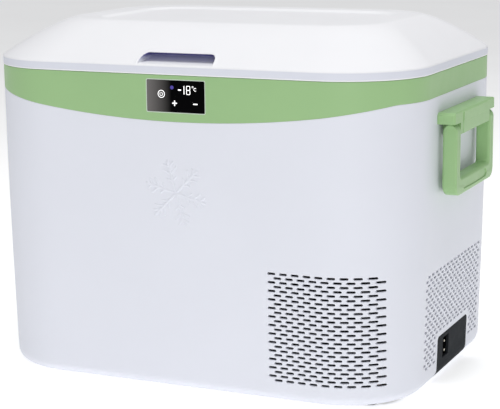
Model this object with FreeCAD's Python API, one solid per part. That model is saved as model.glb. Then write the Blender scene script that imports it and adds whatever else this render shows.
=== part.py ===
import FreeCAD, Part
import math
import os

# Compressor cooler fridge: a portable chest with a hinged lid, a carrying handle on each end, an
# insulated tub, and a compressor bay under the shallow end of the tub, behind the vent slots.
#
# Millimetres. +X is to the right when facing the front, +Y is towards the back and +Z is up. The
# origin is the middle of the footprint, on the surface that the cooler stands on. All heights below
# are measured from the underside of the outer shell, and save() lifts each piece by the rubber feet.

# ---- driving dimensions: the body -------------------------------------------------------------
body_half_x = 250.0
body_half_y = 190.7
corner_radius = 93.0
lid_line = 342.4            # where the lid's skirt ends and the green band starts
belly_radius = 11000.0      # the walls lean in towards the floor on this very large arc
bottom_fillet = 13.0
wall = 2.8
foot_height = 3.0
bottom_flange = 44.0        # how far the shell's floor reaches in, all the way round

# ---- the green band and the display in it -------------------------------------------------------
band_top = lid_line - 0.5
band_side_height = 316.8    # lower edge of the band along the two ends
band_front_height = 293.0   # lower edge of the band at the middle of the front
band_arc_radius = 1150.0
display_centre_x = 2.0
display_centre_z = 320.0
display_width = 69.2
display_height = 35.6
bezel_rim_depth = 3.2
display_border = 0.9

# ---- vents: staggered rows of short pill-shaped slots --------------------------------------------
slot_length = 9.0
slot_height = 2.6
slot_pitch = 13.1
row_pitch = 4.63
lowest_row = 23.5
front_rows = 26
front_columns = 9
front_first_slot = 108.5
side_rows = 23
side_columns = 15
side_first_slot = -93.0
vent_margin = 4.5           # solid edge round a field of slots

# ---- connector panel on the right-hand end -------------------------------------------------------
connector_y = (-50.0, 59.0)
connector_z = (3.0, 48.7)
socket_y = -20.5
socket_z = 32.0
socket_width = 21.0
socket_tall = 23.0
socket_depth = 14.0
socket_sheet = 2.0
contact_spacing = 10.4
contact_radius = 1.3

# ---- tub, foam and compressor bay ----------------------------------------------------------------
tub_half_x = 205.0
tub_half_y = 147.0
tub_corner = 50.0
tub_ledge = 5.0             # how much wider the tub is above the shallow part's floor
tub_floor = 42.0            # inside floor of the deep part
tub_step_x = 60.0           # right-hand wall of the deep part
shelf_floor = 200.0         # inside floor of the shallow part, over the compressor
liner_wall = 1.8
liner_flange_top = 339.0
bay_left = 98.5
bay_top = 156.0
partition_sheet = 1.5
pan_sheet = 2.0
pan_bottom = wall + 0.1
pan_top = pan_bottom + pan_sheet
base_screw_hole = 1.85

# ---- cooling machinery ---------------------------------------------------------------------------
coil_tube = 3.0
coil_stand_off = liner_wall + coil_tube + 0.3
coil_bend = tub_corner + coil_stand_off
coil_right = tub_step_x + coil_stand_off
coil_levels = (172.0, 152.0, 132.0, 112.0, 92.0, 72.0, 52.0)
line_tube = 3.0
capillary_tube_radius = 1.2
suction_y = 30.0
suction_z = coil_levels[-1]
capillary_y = -40.0
capillary_z = 136.0
lead_radius = 2.0
lead_x = 118.0
lead_y = -168.0
display_lead_bends = [6.0, 15.0, 15.0, 6.0, 10.0, 6.0]
compressor_x = 171.0
compressor_y = 52.0
compressor_radius = 56.0
compressor_base = 17.0
compressor_top = 134.0
compressor_sheet = 3.2
fan_x = 157.0
fan_z = 66.0
fan_front = -134.0
fan_size = 92.0
fan_depth = 25.0
fan_bore = 43.5
fan_hub = 18.0
fan_tip = 40.5
blade_count = 7
condenser_front = -162.0
condenser_depth = 24.0
condenser_y = condenser_front + condenser_depth / 2
condenser_left = 106.0
condenser_right = 213.0
condenser_passes = (112.0, 89.0, 66.0, 43.0, 20.0)
condenser_tube_radius = 4.0
fin_count = 22
fin_pitch = 3.2
drier_x = 214.0
drier_y = -90.0

# ---- electrics -----------------------------------------------------------------------------------
board_x = (104.0, 200.0)
board_y = (112.0, 160.0)
board_z = 22.0
board_sheet = 1.6
display_board_y = -body_half_y + 7.0
sensor_place = (-58.0, 185.0)

# ---- lid -----------------------------------------------------------------------------------------
lid_overhang = 0.4
lid_skirt = 9.4
dome_rise = 39.2
dome_run_x = 64.5
dome_run_y = 76.9
dome_power = 1.36
dome_corner_loss = 27.0
lid_wall = 2.6
lid_panel_bottom = lid_line + 0.9
lid_panel_top = lid_line + 2.9
tray_depth = 2.5
tray_centre = (4.0, -7.0)
tray_half = (156.0, 93.0)
scoop_half_width = 44.5
scoop_top = 361.6
scoop_back_y = -158.0

# ---- lid hinge, behind the body ------------------------------------------------------------------
hinge_axis_y = 194.7
hinge_axis_z = 334.0
hinge_centres_x = (-125.0, 125.0)
hinge_half_width = 28.0
knuckle_half_width = 13.6
stop_dog = 2.1               # reach of the stop lugs on the ends of the knuckles
stop_space = stop_dog + 0.5   # gap between neighbouring knuckles
knuckle_radius = 3.2
hinge_pin_radius = 1.5
running_gap = 0.05

# ---- carrying handles ----------------------------------------------------------------------------
bracket_back_x = 250.05
bracket_face_x = 270.5
hood_half_y = 75.0
apron_half_y = 54.5
hood_underside = 287.6
hood_top = 299.6
hood_bevel = 3.0
panel_half_y = 45.0
apron_bottom = 274.0
bail_inner_x = 254.0
bail_half_y = 70.0
bail_arm = 15.0
bail_bottom = 210.0
bail_grip_top = 228.0
bail_axis_x = 262.25
bail_axis_z = 278.5
bail_pin_radius = 3.0


# ---- small geometry helpers ----------------------------------------------------------------------
def vec(x, y, z):
    return FreeCAD.Vector(x, y, z)


def save(name, shape):
    """Writes one piece, lifted to stand on the rubber feet."""
    lifted = shape.copy()
    lifted.translate(vec(0, 0, foot_height))
    lifted.exportStep(os.path.join("parts", name + ".step"))


def box(x0, x1, y0, y1, z0, z1):
    return Part.makeBox(x1 - x0, y1 - y0, z1 - z0, vec(x0, y0, z0))


def rod(start, end, radius):
    """A round bar from one point to another."""
    axis = vec(*end) - vec(*start)
    return Part.makeCylinder(radius, axis.Length, vec(*start), axis)


def join(shapes):
    if len(shapes) == 1:
        return shapes[0]
    return shapes[0].multiFuse(list(shapes[1:])).removeSplitter()


def outline(start, *steps):
    """A closed flat face in the X-Z plane. A step is a point (x, z) that a line goes to, or a pair of
    points for an arc that passes through the first and ends at the second."""
    here = vec(start[0], 0, start[1])
    first = here
    edges = []
    for step in steps:
        if isinstance(step[0], tuple):
            through = vec(step[0][0], 0, step[0][1])
            end = vec(step[1][0], 0, step[1][1])
            edges.append(Part.Arc(here, through, end).toShape())
        else:
            end = vec(step[0], 0, step[1])
            edges.append(Part.makeLine(here, end))
        here = end
    if here.distanceToPoint(first) > 1e-6:
        edges.append(Part.makeLine(here, first))
    return Part.Face(Part.Wire(edges))


def wrap(profile, half_x, half_y, radius):
    """Carries a section round a rounded rectangle: X in the section is the distance inwards."""
    solids = []
    for quarter in range(4):
        along_y = quarter % 2 == 0
        reach = half_x if along_y else half_y
        run = (half_y if along_y else half_x) - radius
        section = profile.copy()
        section.rotate(vec(0, 0, 0), vec(0, 0, 1), 180)
        section.translate(vec(reach, -run, 0))
        straight = section.extrude(vec(0, 2 * run, 0))
        section.translate(vec(0, 2 * run, 0))
        corner = section.revolve(vec(reach - radius, run, 0), vec(0, 0, 1), 90)
        for piece in (straight, corner):
            piece.rotate(vec(0, 0, 0), vec(0, 0, 1), 90 * quarter)
            solids.append(piece)
    return join(solids)


def rounded_plate(half_x, half_y, radius, z0, z1):
    """A flat plate with round corners, centred on the Z axis."""
    x = half_x - radius
    y = half_y - radius
    bulge = radius * math.sqrt(0.5)
    edges = []
    for sx, sy in ((1, 1), (-1, 1), (-1, -1), (1, -1)):
        start = vec(sx * half_x, sy * y, z0)
        end = vec(sx * x, sy * half_y, z0)
        if sx * sy < 0:
            start, end = end, start
        middle = vec(sx * (x + bulge), sy * (y + bulge), z0)
        if edges:
            edges.append(Part.makeLine(last, start))
        else:
            first = start
        edges.append(Part.Arc(start, middle, end).toShape())
        last = end
    edges.append(Part.makeLine(last, first))
    return Part.Face(Part.Wire(edges)).extrude(vec(0, 0, z1 - z0))


def rounded_block(half_x, half_y, radius, z0, z1, fillet):
    """A solid block with round corners and a rounded lower edge, centred on the Z axis."""
    bend = fillet * (1 - math.sqrt(0.5))
    section = outline((0, z1), (0, z0 + fillet), ((bend, z0 + bend), (fillet, z0)),
                      (radius, z0), (radius, z1))
    core = box(radius - half_x, half_x - radius, radius - half_y, half_y - radius, z0, z1)
    return join([wrap(section, half_x, half_y, radius), core])


def window_y(x0, x1, z0, z1, radius, y0, y1):
    """A round-cornered rectangle in the X-Z plane, pushed along Y."""
    plate = rounded_plate((x1 - x0) / 2, (z1 - z0) / 2, radius, 0, y1 - y0)
    plate.rotate(vec(0, 0, 0), vec(1, 0, 0), 90)
    plate.translate(vec((x0 + x1) / 2, y1, (z0 + z1) / 2))
    return plate


def window_x(y0, y1, z0, z1, radius, x0, x1):
    """A round-cornered rectangle in the Y-Z plane, pushed along X."""
    plate = rounded_plate((z1 - z0) / 2, (y1 - y0) / 2, radius, 0, x1 - x0)
    plate.rotate(vec(0, 0, 0), vec(0, 1, 0), 90)
    plate.translate(vec(x0, (y0 + y1) / 2, (z0 + z1) / 2))
    return plate


def tube(points, radius, bends):
    """A bent tube or lead, solid all through: straight runs joined by tangent arcs. Bends is the
    radius of every arc, or a list with one radius for each corner."""
    corners = [vec(*p) for p in points]
    if not isinstance(bends, list):
        bends = [bends] * (len(corners) - 2)
    edges = []
    here = corners[0]
    for before, corner, after, bend in zip(corners, corners[1:], corners[2:], bends):
        back = (before - corner).normalize()
        ahead = (after - corner).normalize()
        half_angle = back.getAngle(ahead) / 2
        reach = bend / math.tan(half_angle)
        inwards = (back + ahead).normalize()
        middle = corner + inwards * (bend / math.sin(half_angle) - bend)
        arc_start = corner + back * reach
        arc_end = corner + ahead * reach
        edges.append(Part.makeLine(here, arc_start))
        edges.append(Part.Arc(arc_start, middle, arc_end).toShape())
        here = arc_end
    edges.append(Part.makeLine(here, corners[-1]))
    ring = Part.Wire(Part.makeCircle(radius, corners[0], corners[1] - corners[0]))
    return Part.Wire(edges).makePipeShell([ring], True, False)


# ---- the leaning walls ---------------------------------------------------------------------------
def belly(height):
    """How far the wall has leaned in at a height."""
    drop = lid_line - height
    return belly_radius - math.sqrt(belly_radius ** 2 - drop ** 2)


def wall_section(outer, inner, z0, z1):
    """A strip of wall between two depths below the outer surface."""
    zm = (z0 + z1) / 2
    return outline((belly(z0) + outer, z0),
                   ((belly(zm) + outer, zm), (belly(z1) + outer, z1)),
                   (belly(z1) + inner, z1),
                   ((belly(zm) + inner, zm), (belly(z0) + inner, z0)))


def body_wrap(section):
    return wrap(section, body_half_x, body_half_y, corner_radius)


def casing_skin():
    """The whole outer wall with its rounded lower edge and the flange under the floor."""
    turn = belly(bottom_fillet)
    centre = turn + bottom_fillet
    slant = math.sqrt(0.5)
    inner_fillet = bottom_fillet - wall
    middle = (bottom_fillet + band_top) / 2
    section = outline(
        (belly(band_top), band_top),
        ((belly(middle), middle), (turn, bottom_fillet)),
        ((centre - bottom_fillet * slant, bottom_fillet * (1 - slant)), (centre, 0)),
        (bottom_flange, 0),
        (bottom_flange, wall),
        (centre, wall),
        ((centre - inner_fillet * slant, bottom_fillet - inner_fillet * slant),
         (turn + wall, bottom_fillet)),
        ((belly(middle) + wall, middle), (belly(band_top) + wall, band_top)))
    return body_wrap(section)


def cavity(depth, z0, z1):
    """Everything inside the casing, from a depth below its outer surface inwards. Its lowest edge is
    bevelled, to clear the casing's rounded one."""
    bevel_top = bottom_fillet + 1.0
    middle = (bevel_top + z1) / 2
    section = outline((bottom_fillet + 7.0, z0), (belly(bevel_top) + depth, bevel_top),
                      ((belly(middle) + depth, middle), (belly(z1) + depth, z1)),
                      (corner_radius, z1), (corner_radius, z0))
    core = box(corner_radius - body_half_x, body_half_x - corner_radius,
               corner_radius - body_half_y, body_half_y - corner_radius, z0, z1)
    return join([body_wrap(section), core])


def below_band():
    """The space under the green band's lower edge, which dips in a long arc across the front."""
    rise = band_side_height - band_front_height
    arc_end = math.sqrt(2 * band_arc_radius * rise - rise ** 2)
    far = body_half_x + 50
    face = outline((-far, -50), (-far, band_side_height), (-arc_end, band_side_height),
                   ((0, band_front_height), (arc_end, band_side_height)),
                   (far, band_side_height), (far, -50))
    face.translate(vec(0, -far, 0))
    return face.extrude(vec(0, 2 * far, 0))


# ---- openings in the casing, and what fills them -------------------------------------------------
def front_slots():
    """Centres (x, z) of the front slots. Every other row is shifted by half a pitch."""
    centres = []
    for row in range(front_rows):
        shift = (row + 1) % 2 / 2
        for column in range(front_columns):
            centres.append((front_first_slot + slot_pitch * (column + shift),
                            lowest_row + row_pitch * row))
    return centres


def side_slots():
    """Centres (y, z) of the slots on the right-hand end, which leave the connector panel clear."""
    centres = []
    for row in range(side_rows):
        for column in range(side_columns):
            y = side_first_slot + slot_pitch * (column + (row + 1) % 2 / 2)
            z = lowest_row + row_pitch * row
            beside = connector_y[0] - 8 < y < connector_y[1] + 8
            if not (beside and z < connector_z[1] + 4):
                centres.append((y, z))
    return centres


def front_vent_window():
    last = front_first_slot + slot_pitch * (front_columns - 0.5)
    reach = slot_length / 2 + vent_margin
    rise = slot_height / 2 + vent_margin
    top = lowest_row + row_pitch * (front_rows - 1)
    return window_y(front_first_slot - reach, last + reach, lowest_row - rise, top + rise, 6.0,
                    -body_half_y - 10, -100)


def side_vent_window():
    last = side_first_slot + slot_pitch * (side_columns - 0.5)
    reach = slot_length / 2 + vent_margin
    rise = slot_height / 2 + vent_margin
    top = lowest_row + row_pitch * (side_rows - 1)
    return window_x(side_first_slot - reach, last + reach, lowest_row - rise, top + rise, 6.0,
                    220, body_half_x + 10)


def connector_window():
    upper = window_x(connector_y[0], connector_y[1], connector_z[0] + 10, connector_z[1], 5.0,
                     225, body_half_x + 10)
    lower = box(225, body_half_x + 10, connector_y[0], connector_y[1], -5, connector_z[0] + 20)
    floor = box(225, body_half_x + 10, connector_y[0] - 1, connector_y[1] + 1, -6, connector_z[0])
    return join([upper, lower]).cut(floor)


def pill_y(x, z):
    """One slot cut along Y."""
    half = (slot_length - slot_height) / 2
    r = slot_height / 2
    face = outline((x - half, z - r), (x + half, z - r), ((x + half + r, z), (x + half, z + r)),
                   (x - half, z + r), ((x - half - r, z), (x - half, z - r)))
    face.translate(vec(0, -body_half_y - 5, 0))
    return face.extrude(vec(0, 75, 0))


def pill_x(y, z):
    """One slot cut along X."""
    slot = pill_y(0, z)
    slot.rotate(vec(0, 0, 0), vec(0, 0, 1), 90)
    slot.translate(vec(body_half_x - body_half_y, y, 0))
    return slot


def outer_shell(skin):
    """White casing from the floor up to the green band."""
    shell = skin.common(below_band())
    openings = [front_vent_window(), side_vent_window(), connector_window()]
    openings += [rod((x, y, -5), (x, y, 5), base_screw_hole) for x, y in base_screw_places()]
    for side in (1, -1):
        openings += [rod((side * 235, y, z), (side * 255, y, z), 2.1)
                     for y, z in handle_screw_places()]
    openings += [rod((x, 180, z), (x, 195, z), 1.6) for x, z in body_leaf_screw_places()]
    return shell.cut(Part.makeCompound(openings))


def trim_band(skin):
    """Green band: the top of the casing, with a lip inwards over the tub's edge and a skirt that
    tucks down inside the white shell."""
    band = skin.cut(below_band())
    lip_bottom = liner_flange_top + 0.1
    lip = body_wrap(outline((1.0, lip_bottom), (12.0, lip_bottom), (12.0, band_top),
                            (1.0, band_top)))
    skirt = body_wrap(wall_section(wall + 0.2, wall + 2.2, 280.0, 330.0))
    bridge = body_wrap(wall_section(wall - 1.0, wall + 2.2, 318.0, 330.0))
    band = join([band, lip, skirt, bridge])
    opening = window_y(display_centre_x - display_width / 2 - 0.1,
                       display_centre_x + display_width / 2 + 0.1,
                       display_centre_z - display_height / 2 - 0.1,
                       display_centre_z + display_height / 2 + 0.1, 2.0,
                       -body_half_y - 5, -body_half_y + 12)
    holes = [rod((x, 180, z), (x, 195, z), 1.6) for x, z in body_leaf_screw_places()]
    for side in (1, -1):
        holes += [rod((side * 235, y, z), (side * 255, y, z), 2.1)
                  for y, z in handle_screw_places()]
    return band.cut(Part.makeCompound([opening] + holes))


def grille_skin():
    """The same wall with the very slight curve of its height drawn as one straight slope."""
    z0 = bottom_fillet + 1
    z1 = lowest_row + row_pitch * front_rows + vent_margin
    return body_wrap(outline((belly(z0), z0), (belly(z1), z1), (belly(z1) + wall, z1),
                             (belly(z0) + wall, z0)))


def front_vent_grille():
    """Flush panel of slots at the front right, in front of the condenser."""
    piece = grille_skin().common(front_vent_window())
    return piece.cut(Part.makeCompound([pill_y(x, z) for x, z in front_slots()]))


def side_vent_grille():
    """Flush panel of slots on the right-hand end, where the warm air leaves."""
    piece = grille_skin().common(side_vent_window()).cut(connector_window())
    return piece.cut(Part.makeCompound([pill_x(y, z) for y, z in side_slots()]))


def socket_window(margin, x0, x1):
    return window_x(socket_y - socket_width / 2 - margin, socket_y + socket_width / 2 + margin,
                    socket_z - socket_tall / 2 - margin, socket_z + socket_tall / 2 + margin,
                    2.0 + margin, x0, x1)


def connector_panel(skin):
    return skin.common(connector_window()).cut(socket_window(0, 220, body_half_x + 5))


def socket_front():
    return body_half_x - belly(socket_z) - wall - 0.5


def socket_back():
    return socket_front() - socket_depth - socket_sheet


def dc_socket():
    """Open box behind the connector panel, with a flange against it."""
    face = socket_front()
    back = socket_back()
    housing = join([socket_window(socket_sheet, back, face),
                    socket_window(4.5, face - socket_sheet, face)])
    return housing.cut(socket_window(0, back + socket_sheet, face + 5)).cut(dc_contacts())


def dc_contacts():
    """The two pins of the inlet, through the back of its socket."""
    tip = socket_front() + 2.1
    return Part.makeCompound([
        rod((socket_back() - 4.7, socket_y, socket_z + offset), (tip, socket_y, socket_z + offset),
            contact_radius)
        for offset in (-contact_spacing / 2, contact_spacing / 2)])


# ---- floor ---------------------------------------------------------------------------------------
def base_screw_places():
    return [(x, y) for x in (-150, 0, 150) for y in (-159, 159)]


def base_pan():
    """Steel floor plate that carries the machinery."""
    pan = rounded_plate(body_half_x - 20, body_half_y - 20, corner_radius - 20, pan_bottom, pan_top)
    holes = [rod((x, y, 0), (x, y, 10), base_screw_hole) for x, y in base_screw_places()]
    air_slots = [window_slot(x, compressor_y) for x in (135, 153, 171, 189, 207)]
    return pan.cut(Part.makeCompound(holes + air_slots))


def window_slot(x, y):
    """An air slot through the floor plate under the compressor."""
    slot = rounded_plate(3.0, 22.0, 2.9, 0, 10)
    slot.translate(vec(x, y, 0))
    return slot


def base_screws():
    """Pan-head screws from below, through the shell's flange and the floor plate."""
    return Part.makeCompound([
        join([rod((x, y, -1.9), (x, y, -0.05), 3.6), rod((x, y, -0.5), (x, y, pan_top + 4), 1.75)])
        for x, y in base_screw_places()])


def rubber_feet():
    """Four tapered pads in the corners."""
    shift_x = body_half_x - corner_radius + 62 * math.sqrt(0.5)
    shift_y = body_half_y - corner_radius + 62 * math.sqrt(0.5)
    pads = []
    for sx in (-1, 1):
        for sy in (-1, 1):
            place = vec(sx * shift_x, sy * shift_y, -foot_height)
            pads.append(Part.makeCone(9.0, 11.0, foot_height, place))
    return Part.makeCompound(pads)


# ---- tub and insulation --------------------------------------------------------------------------
def tub_blocks(grow):
    """The tub's inside space, grown outwards evenly: a deep part, and above it a slightly wider
    shallow part that reaches out over the machinery."""
    deep_half = (tub_half_x + tub_step_x) / 2
    deep = rounded_block(deep_half + grow, tub_half_y + grow, tub_corner + grow,
                         tub_floor - grow, shelf_floor + 40, 15.0 + grow)
    deep.translate(vec(tub_step_x - deep_half, 0, 0))
    wide = tub_ledge + grow
    shallow = rounded_block(tub_half_x + wide, tub_half_y + wide, tub_corner + wide,
                            shelf_floor - grow, liner_flange_top + 1, 15.0 + grow)
    return join([deep, shallow])


def inner_liner():
    """One vacuum-formed skin: the tub and the flange round its mouth."""
    flange = rounded_plate(body_half_x - 6, body_half_y - 6, corner_radius - 6,
                           liner_flange_top - liner_wall, liner_flange_top)
    above = box(-300, 300, -300, 300, liner_flange_top, liner_flange_top + 10)
    tub = tub_blocks(liner_wall).cut(above)
    return join([tub, flange]).cut(tub_blocks(0))


def bay_space(margin):
    """The machinery's space, with its partition if the margin is that thick."""
    return box(bay_left - margin, 300, -300, 300, -10, bay_top + margin)


def bay_partition():
    """Bent sheet between the foam and the machinery."""
    sheet = bay_space(partition_sheet).cut(bay_space(0))
    space = cavity(wall + 0.4, pan_top + 0.2, bay_top + 20)
    holes = [rod((80, suction_y, suction_z), (120, suction_y, suction_z), 3.6),
             rod((80, capillary_y, capillary_z), (120, capillary_y, capillary_z), 1.6),
             rod((lead_x, lead_y, 140), (lead_x, lead_y, 170), 2.4)]
    return sheet.common(space).cut(Part.makeCompound(holes))


def foam_insulation():
    """Polyurethane foam that fills everything between the casing and the tub."""
    top = liner_flange_top - liner_wall - 0.2
    foam = cavity(wall + 0.3, pan_top + 0.2, top)
    hollows = [tub_blocks(liner_wall + 0.1), bay_space(partition_sheet + 0.1)]
    hollows.append(body_wrap(outline((0, 276), (5.4, 276), (5.4, top + 5), (0, top + 5))))
    hollows += [coil_groove(), capillary_pocket()]
    hollows.append(box(coil_right - 2, coil_right + 12, suction_y - 14, suction_y + 3.4,
                       suction_z - 3.4, suction_z + 3.4))
    hollows += [display_pocket(), rod((57, suction_y, suction_z), (110, suction_y, suction_z), 3.4),
                rod((60, capillary_y, capillary_z), (110, capillary_y, capillary_z), 1.6),
                sensor_pocket()]
    for side in (1, -1):
        hollows += [rod((side * 238, y, z), (side * 250, y, z), 4.6)
                    for y, z in handle_screw_places()]
    hollows += [rod((x, 172, z), (x, 190, z), 2.2) for x, z in body_leaf_screw_places()]
    hollows += [rod((x, y, 0), (x, y, 12), 2.2) for x, y in base_screw_places()]
    hollows.append(tube(display_lead_points(), lead_radius + 1.2, display_lead_bends))
    return foam.cut(Part.makeCompound(hollows))


# ---- cooling circuit -----------------------------------------------------------------------------
def deep_part_wrap(section):
    """Carries a section round the outside of the tub's deep part."""
    deep_half = (tub_half_x + tub_step_x) / 2
    ring = wrap(section, deep_half, tub_half_y, tub_corner)
    ring.translate(vec(tub_step_x - deep_half, 0, 0))
    return ring


def evaporator_coil():
    """One tube wound round the deep part of the tub, stepping down a level along the right."""
    left = -tub_half_x - coil_stand_off
    side = tub_half_y + coil_stand_off
    points = [(coil_right, capillary_y, coil_levels[0])]
    bends = []
    for level, next_level in zip(coil_levels, coil_levels[1:]):
        points += [(coil_right, side, level), (left, side, level), (left, -side, level),
                   (coil_right, -side, level), (coil_right, -82, level),
                   (coil_right, capillary_y, next_level)]
        bends += [coil_bend] * 4 + [30.0] * 2
    points += [(coil_right, suction_y, suction_z), (coil_right + 25, suction_y, suction_z)]
    bends.append(9.0)
    return tube(points, coil_tube, bends)


def coil_groove():
    """The ring of space for the coil between the tub and the foam."""
    outer = -coil_stand_off - coil_tube - 0.3
    low = coil_levels[-1] - coil_tube - 1
    high = coil_levels[0] + coil_tube + 1
    return deep_part_wrap(outline((outer, low), (-1.0, low), (-1.0, high), (outer, high)))


def capillary_pocket():
    return box(coil_right - 4, bay_left, -68, capillary_y + 6, capillary_z - 5,
               coil_levels[0] + 5)


def compressor_shell():
    """Two deep-drawn steel cans welded at a seam flange, on a welded foot plate."""
    r = compressor_radius
    seam = (compressor_base + compressor_top) / 2 - 6
    section = outline((0, compressor_base), (r - 14, compressor_base),
                      ((r - 4, compressor_base + 4), (r, compressor_base + 14)), (r, seam),
                      (r + 2.5, seam), (r + 2.5, seam + 4), (r, seam + 4),
                      (r, compressor_top - 26),
                      ((r - 9, compressor_top - 10), (r - 28, compressor_top)),
                      (0, compressor_top))
    can = section.revolve(vec(0, 0, 0), vec(0, 0, 1), 360)
    can = can.cut(compressor_inside())
    foot = rounded_plate(62.0, 58.0, 12.0, compressor_base - 2, compressor_base)
    body = join([can, foot])
    body.translate(vec(compressor_x, compressor_y, 0))
    holes = [rod((x, y, 0), (x, y, compressor_base), 6.0) for x, y in mount_places()]
    return body.cut(Part.makeCompound(holes))


def compressor_inside():
    """The sealed space in the can."""
    r = compressor_radius - compressor_sheet
    low = compressor_base + compressor_sheet
    high = compressor_top - compressor_sheet
    section = outline((0, low), (r - 12, low), ((r - 4, low + 4), (r, low + 12)), (r, high - 26),
                      ((r - 9, high - 10), (r - 28, high)), (0, high))
    return section.revolve(vec(0, 0, 0), vec(0, 0, 1), 360)


def compressor_pump():
    """Motor and piston block inside the can, with its four support springs drawn as posts."""
    low = compressor_base + compressor_sheet
    parts = [rod((0, 0, low + 14), (0, 0, low + 52), 43.0),
             rod((0, 0, low + 50), (0, 0, low + 78), 26.0),
             rod((-40, 0, low + 65), (30, 0, low + 65), 12.0)]
    for sx in (-1, 1):
        for sy in (-1, 1):
            parts.append(rod((sx * 24, sy * 24, low), (sx * 24, sy * 24, low + 15), 5.0))
    block = join(parts)
    block.translate(vec(compressor_x, compressor_y, 0))
    return block


def mount_places():
    return [(compressor_x + sx * 52, compressor_y + sy * 48) for sx in (-1, 1) for sy in (-1, 1)]


def compressor_terminal_cover():
    """Plastic cover over the electrical terminals, on the can's front."""
    cover = window_y(compressor_x - 24, compressor_x + 24, 42, 92, 6.0,
                     compressor_y - compressor_radius - 20, compressor_y - 40)
    can = rod((compressor_x, compressor_y, 0), (compressor_x, compressor_y, 150),
              compressor_radius + 2.8)
    return cover.cut(can)


def compressor_grommets():
    """Rubber mounts: a wide pad under the foot plate, a neck through it and a pad on top."""
    foot_under = compressor_base - 2
    mounts = []
    for x, y in mount_places():
        mount = join([rod((x, y, pan_top), (x, y, foot_under), 8.5),
                      rod((x, y, foot_under), (x, y, compressor_base), 5.9),
                      rod((x, y, compressor_base), (x, y, compressor_base + 3), 8.0)])
        mounts.append(mount.cut(rod((x, y, 0), (x, y, 30), 3.1)))
    return Part.makeCompound(mounts)


def compressor_studs():
    """Studs welded to the floor plate, each with its washer and nut."""
    studs = []
    for x, y in mount_places():
        top = compressor_base + 3
        corners = [vec(x + 5.8 * math.cos(math.radians(60 * k)),
                       y + 5.8 * math.sin(math.radians(60 * k)), top + 1) for k in range(7)]
        nut = Part.Face(Part.makePolygon(corners)).extrude(vec(0, 0, 4.5))
        studs.append(join([rod((x, y, pan_top), (x, y, top + 8), 3.0),
                           rod((x, y, top), (x, y, top + 1), 7.0), nut]))
    return Part.makeCompound(studs)


def condenser_tube():
    """One tube bent back and forth across the fins."""
    points = [(condenser_left + 6, condenser_y, 131.0), (condenser_left + 6, condenser_y, 112.0)]
    bends = [10.0]
    for number, level in enumerate(condenser_passes[:-1]):
        x = condenser_right if number % 2 == 0 else condenser_left
        points += [(x, condenser_y, level), (x, condenser_y, condenser_passes[number + 1])]
        bends += [11.2, 11.2]
    points.append((condenser_right - 8, condenser_y, condenser_passes[-1]))
    return tube(points, condenser_tube_radius, bends)


def plate_with_holes(x, thickness, y0, y1, z0, z1):
    """A fin or an end plate across the condenser, pierced by the tube's passes."""
    plate = box(x, x + thickness, y0, y1, z0, z1)
    holes = [rod((x - 1, condenser_y, z), (x + thickness + 1, condenser_y, z),
                 condenser_tube_radius) for z in condenser_passes]
    return plate.cut(Part.makeCompound(holes))


def condenser_fins():
    back = condenser_front + condenser_depth
    return Part.makeCompound([
        plate_with_holes(125.0 + fin_pitch * k, 0.5, condenser_front, back, 10, 122)
        for k in range(fin_count)])


def condenser_end_plates():
    """Folded sheet ends that stand on the floor plate and carry the condenser."""
    back = condenser_front + condenser_depth
    ends = []
    for x, foot in ((121.0, -10.0), (196.0, 10.0)):
        plate = plate_with_holes(x, 1.2, condenser_front - 1, back + 1, pan_top, 125)
        x0, x1 = sorted((x + 0.6, x + 0.6 + foot))
        ends.append(join([plate, box(x0, x1, condenser_front - 1, back + 1, pan_top,
                                     pan_top + 1.2)]))
    return Part.makeCompound(ends)


def discharge_line():
    """Hot gas from the top of the compressor to the top of the condenser."""
    x = condenser_left + 6
    top = 144.0
    return tube([(150.0, compressor_y, compressor_top), (150.0, compressor_y, top),
                 (x, compressor_y, top), (x, condenser_y, top), (x, condenser_y, 131.0)],
                line_tube, [7.0, 14.0, 9.0])


def liquid_line():
    """From the bottom of the condenser, past the fan, to the filter drier."""
    z = condenser_passes[-1]
    return tube([(condenser_right - 8, condenser_y, z), (drier_x, condenser_y, z),
                 (drier_x, drier_y, z), (drier_x, drier_y, 50.0)], line_tube, [7.0, 8.0])


def filter_drier():
    """Copper cartridge with necked ends."""
    section = outline((0, 50), (4, 50), (4, 54), (9, 61), (9, 108), (3, 117), (3, 121), (0, 121))
    drier = section.revolve(vec(0, 0, 0), vec(0, 0, 1), 360)
    drier.translate(vec(drier_x, drier_y, 0))
    return drier


def capillary_tube():
    """Thin tube from the drier, through the partition, to the start of the evaporator."""
    z = coil_levels[0]
    return tube([(drier_x, drier_y, 121.0), (drier_x, drier_y, capillary_z),
                 (180.0, -60.0, capillary_z), (140.0, capillary_y, capillary_z),
                 (84.0, capillary_y, capillary_z), (84.0, -60.0, z), (coil_right, -60.0, z),
                 (coil_right, capillary_y, z)],
                capillary_tube_radius, [8.0, 20.0, 20.0, 6.0, 6.0, 6.0])


def suction_line():
    """Cold gas from the end of the evaporator back to the compressor's side."""
    start = coil_right + 25
    port = compressor_x - math.sqrt(compressor_radius ** 2 - (compressor_y - suction_y) ** 2)
    line = tube([(start, suction_y, suction_z), (port - 9, suction_y, suction_z),
                 (port - 9, suction_y, suction_z + 40), (port + 3, suction_y, suction_z + 40)],
                line_tube, [4.5, 4.5])
    return line.cut(rod((compressor_x, compressor_y, 0), (compressor_x, compressor_y, 200),
                        compressor_radius))


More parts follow.
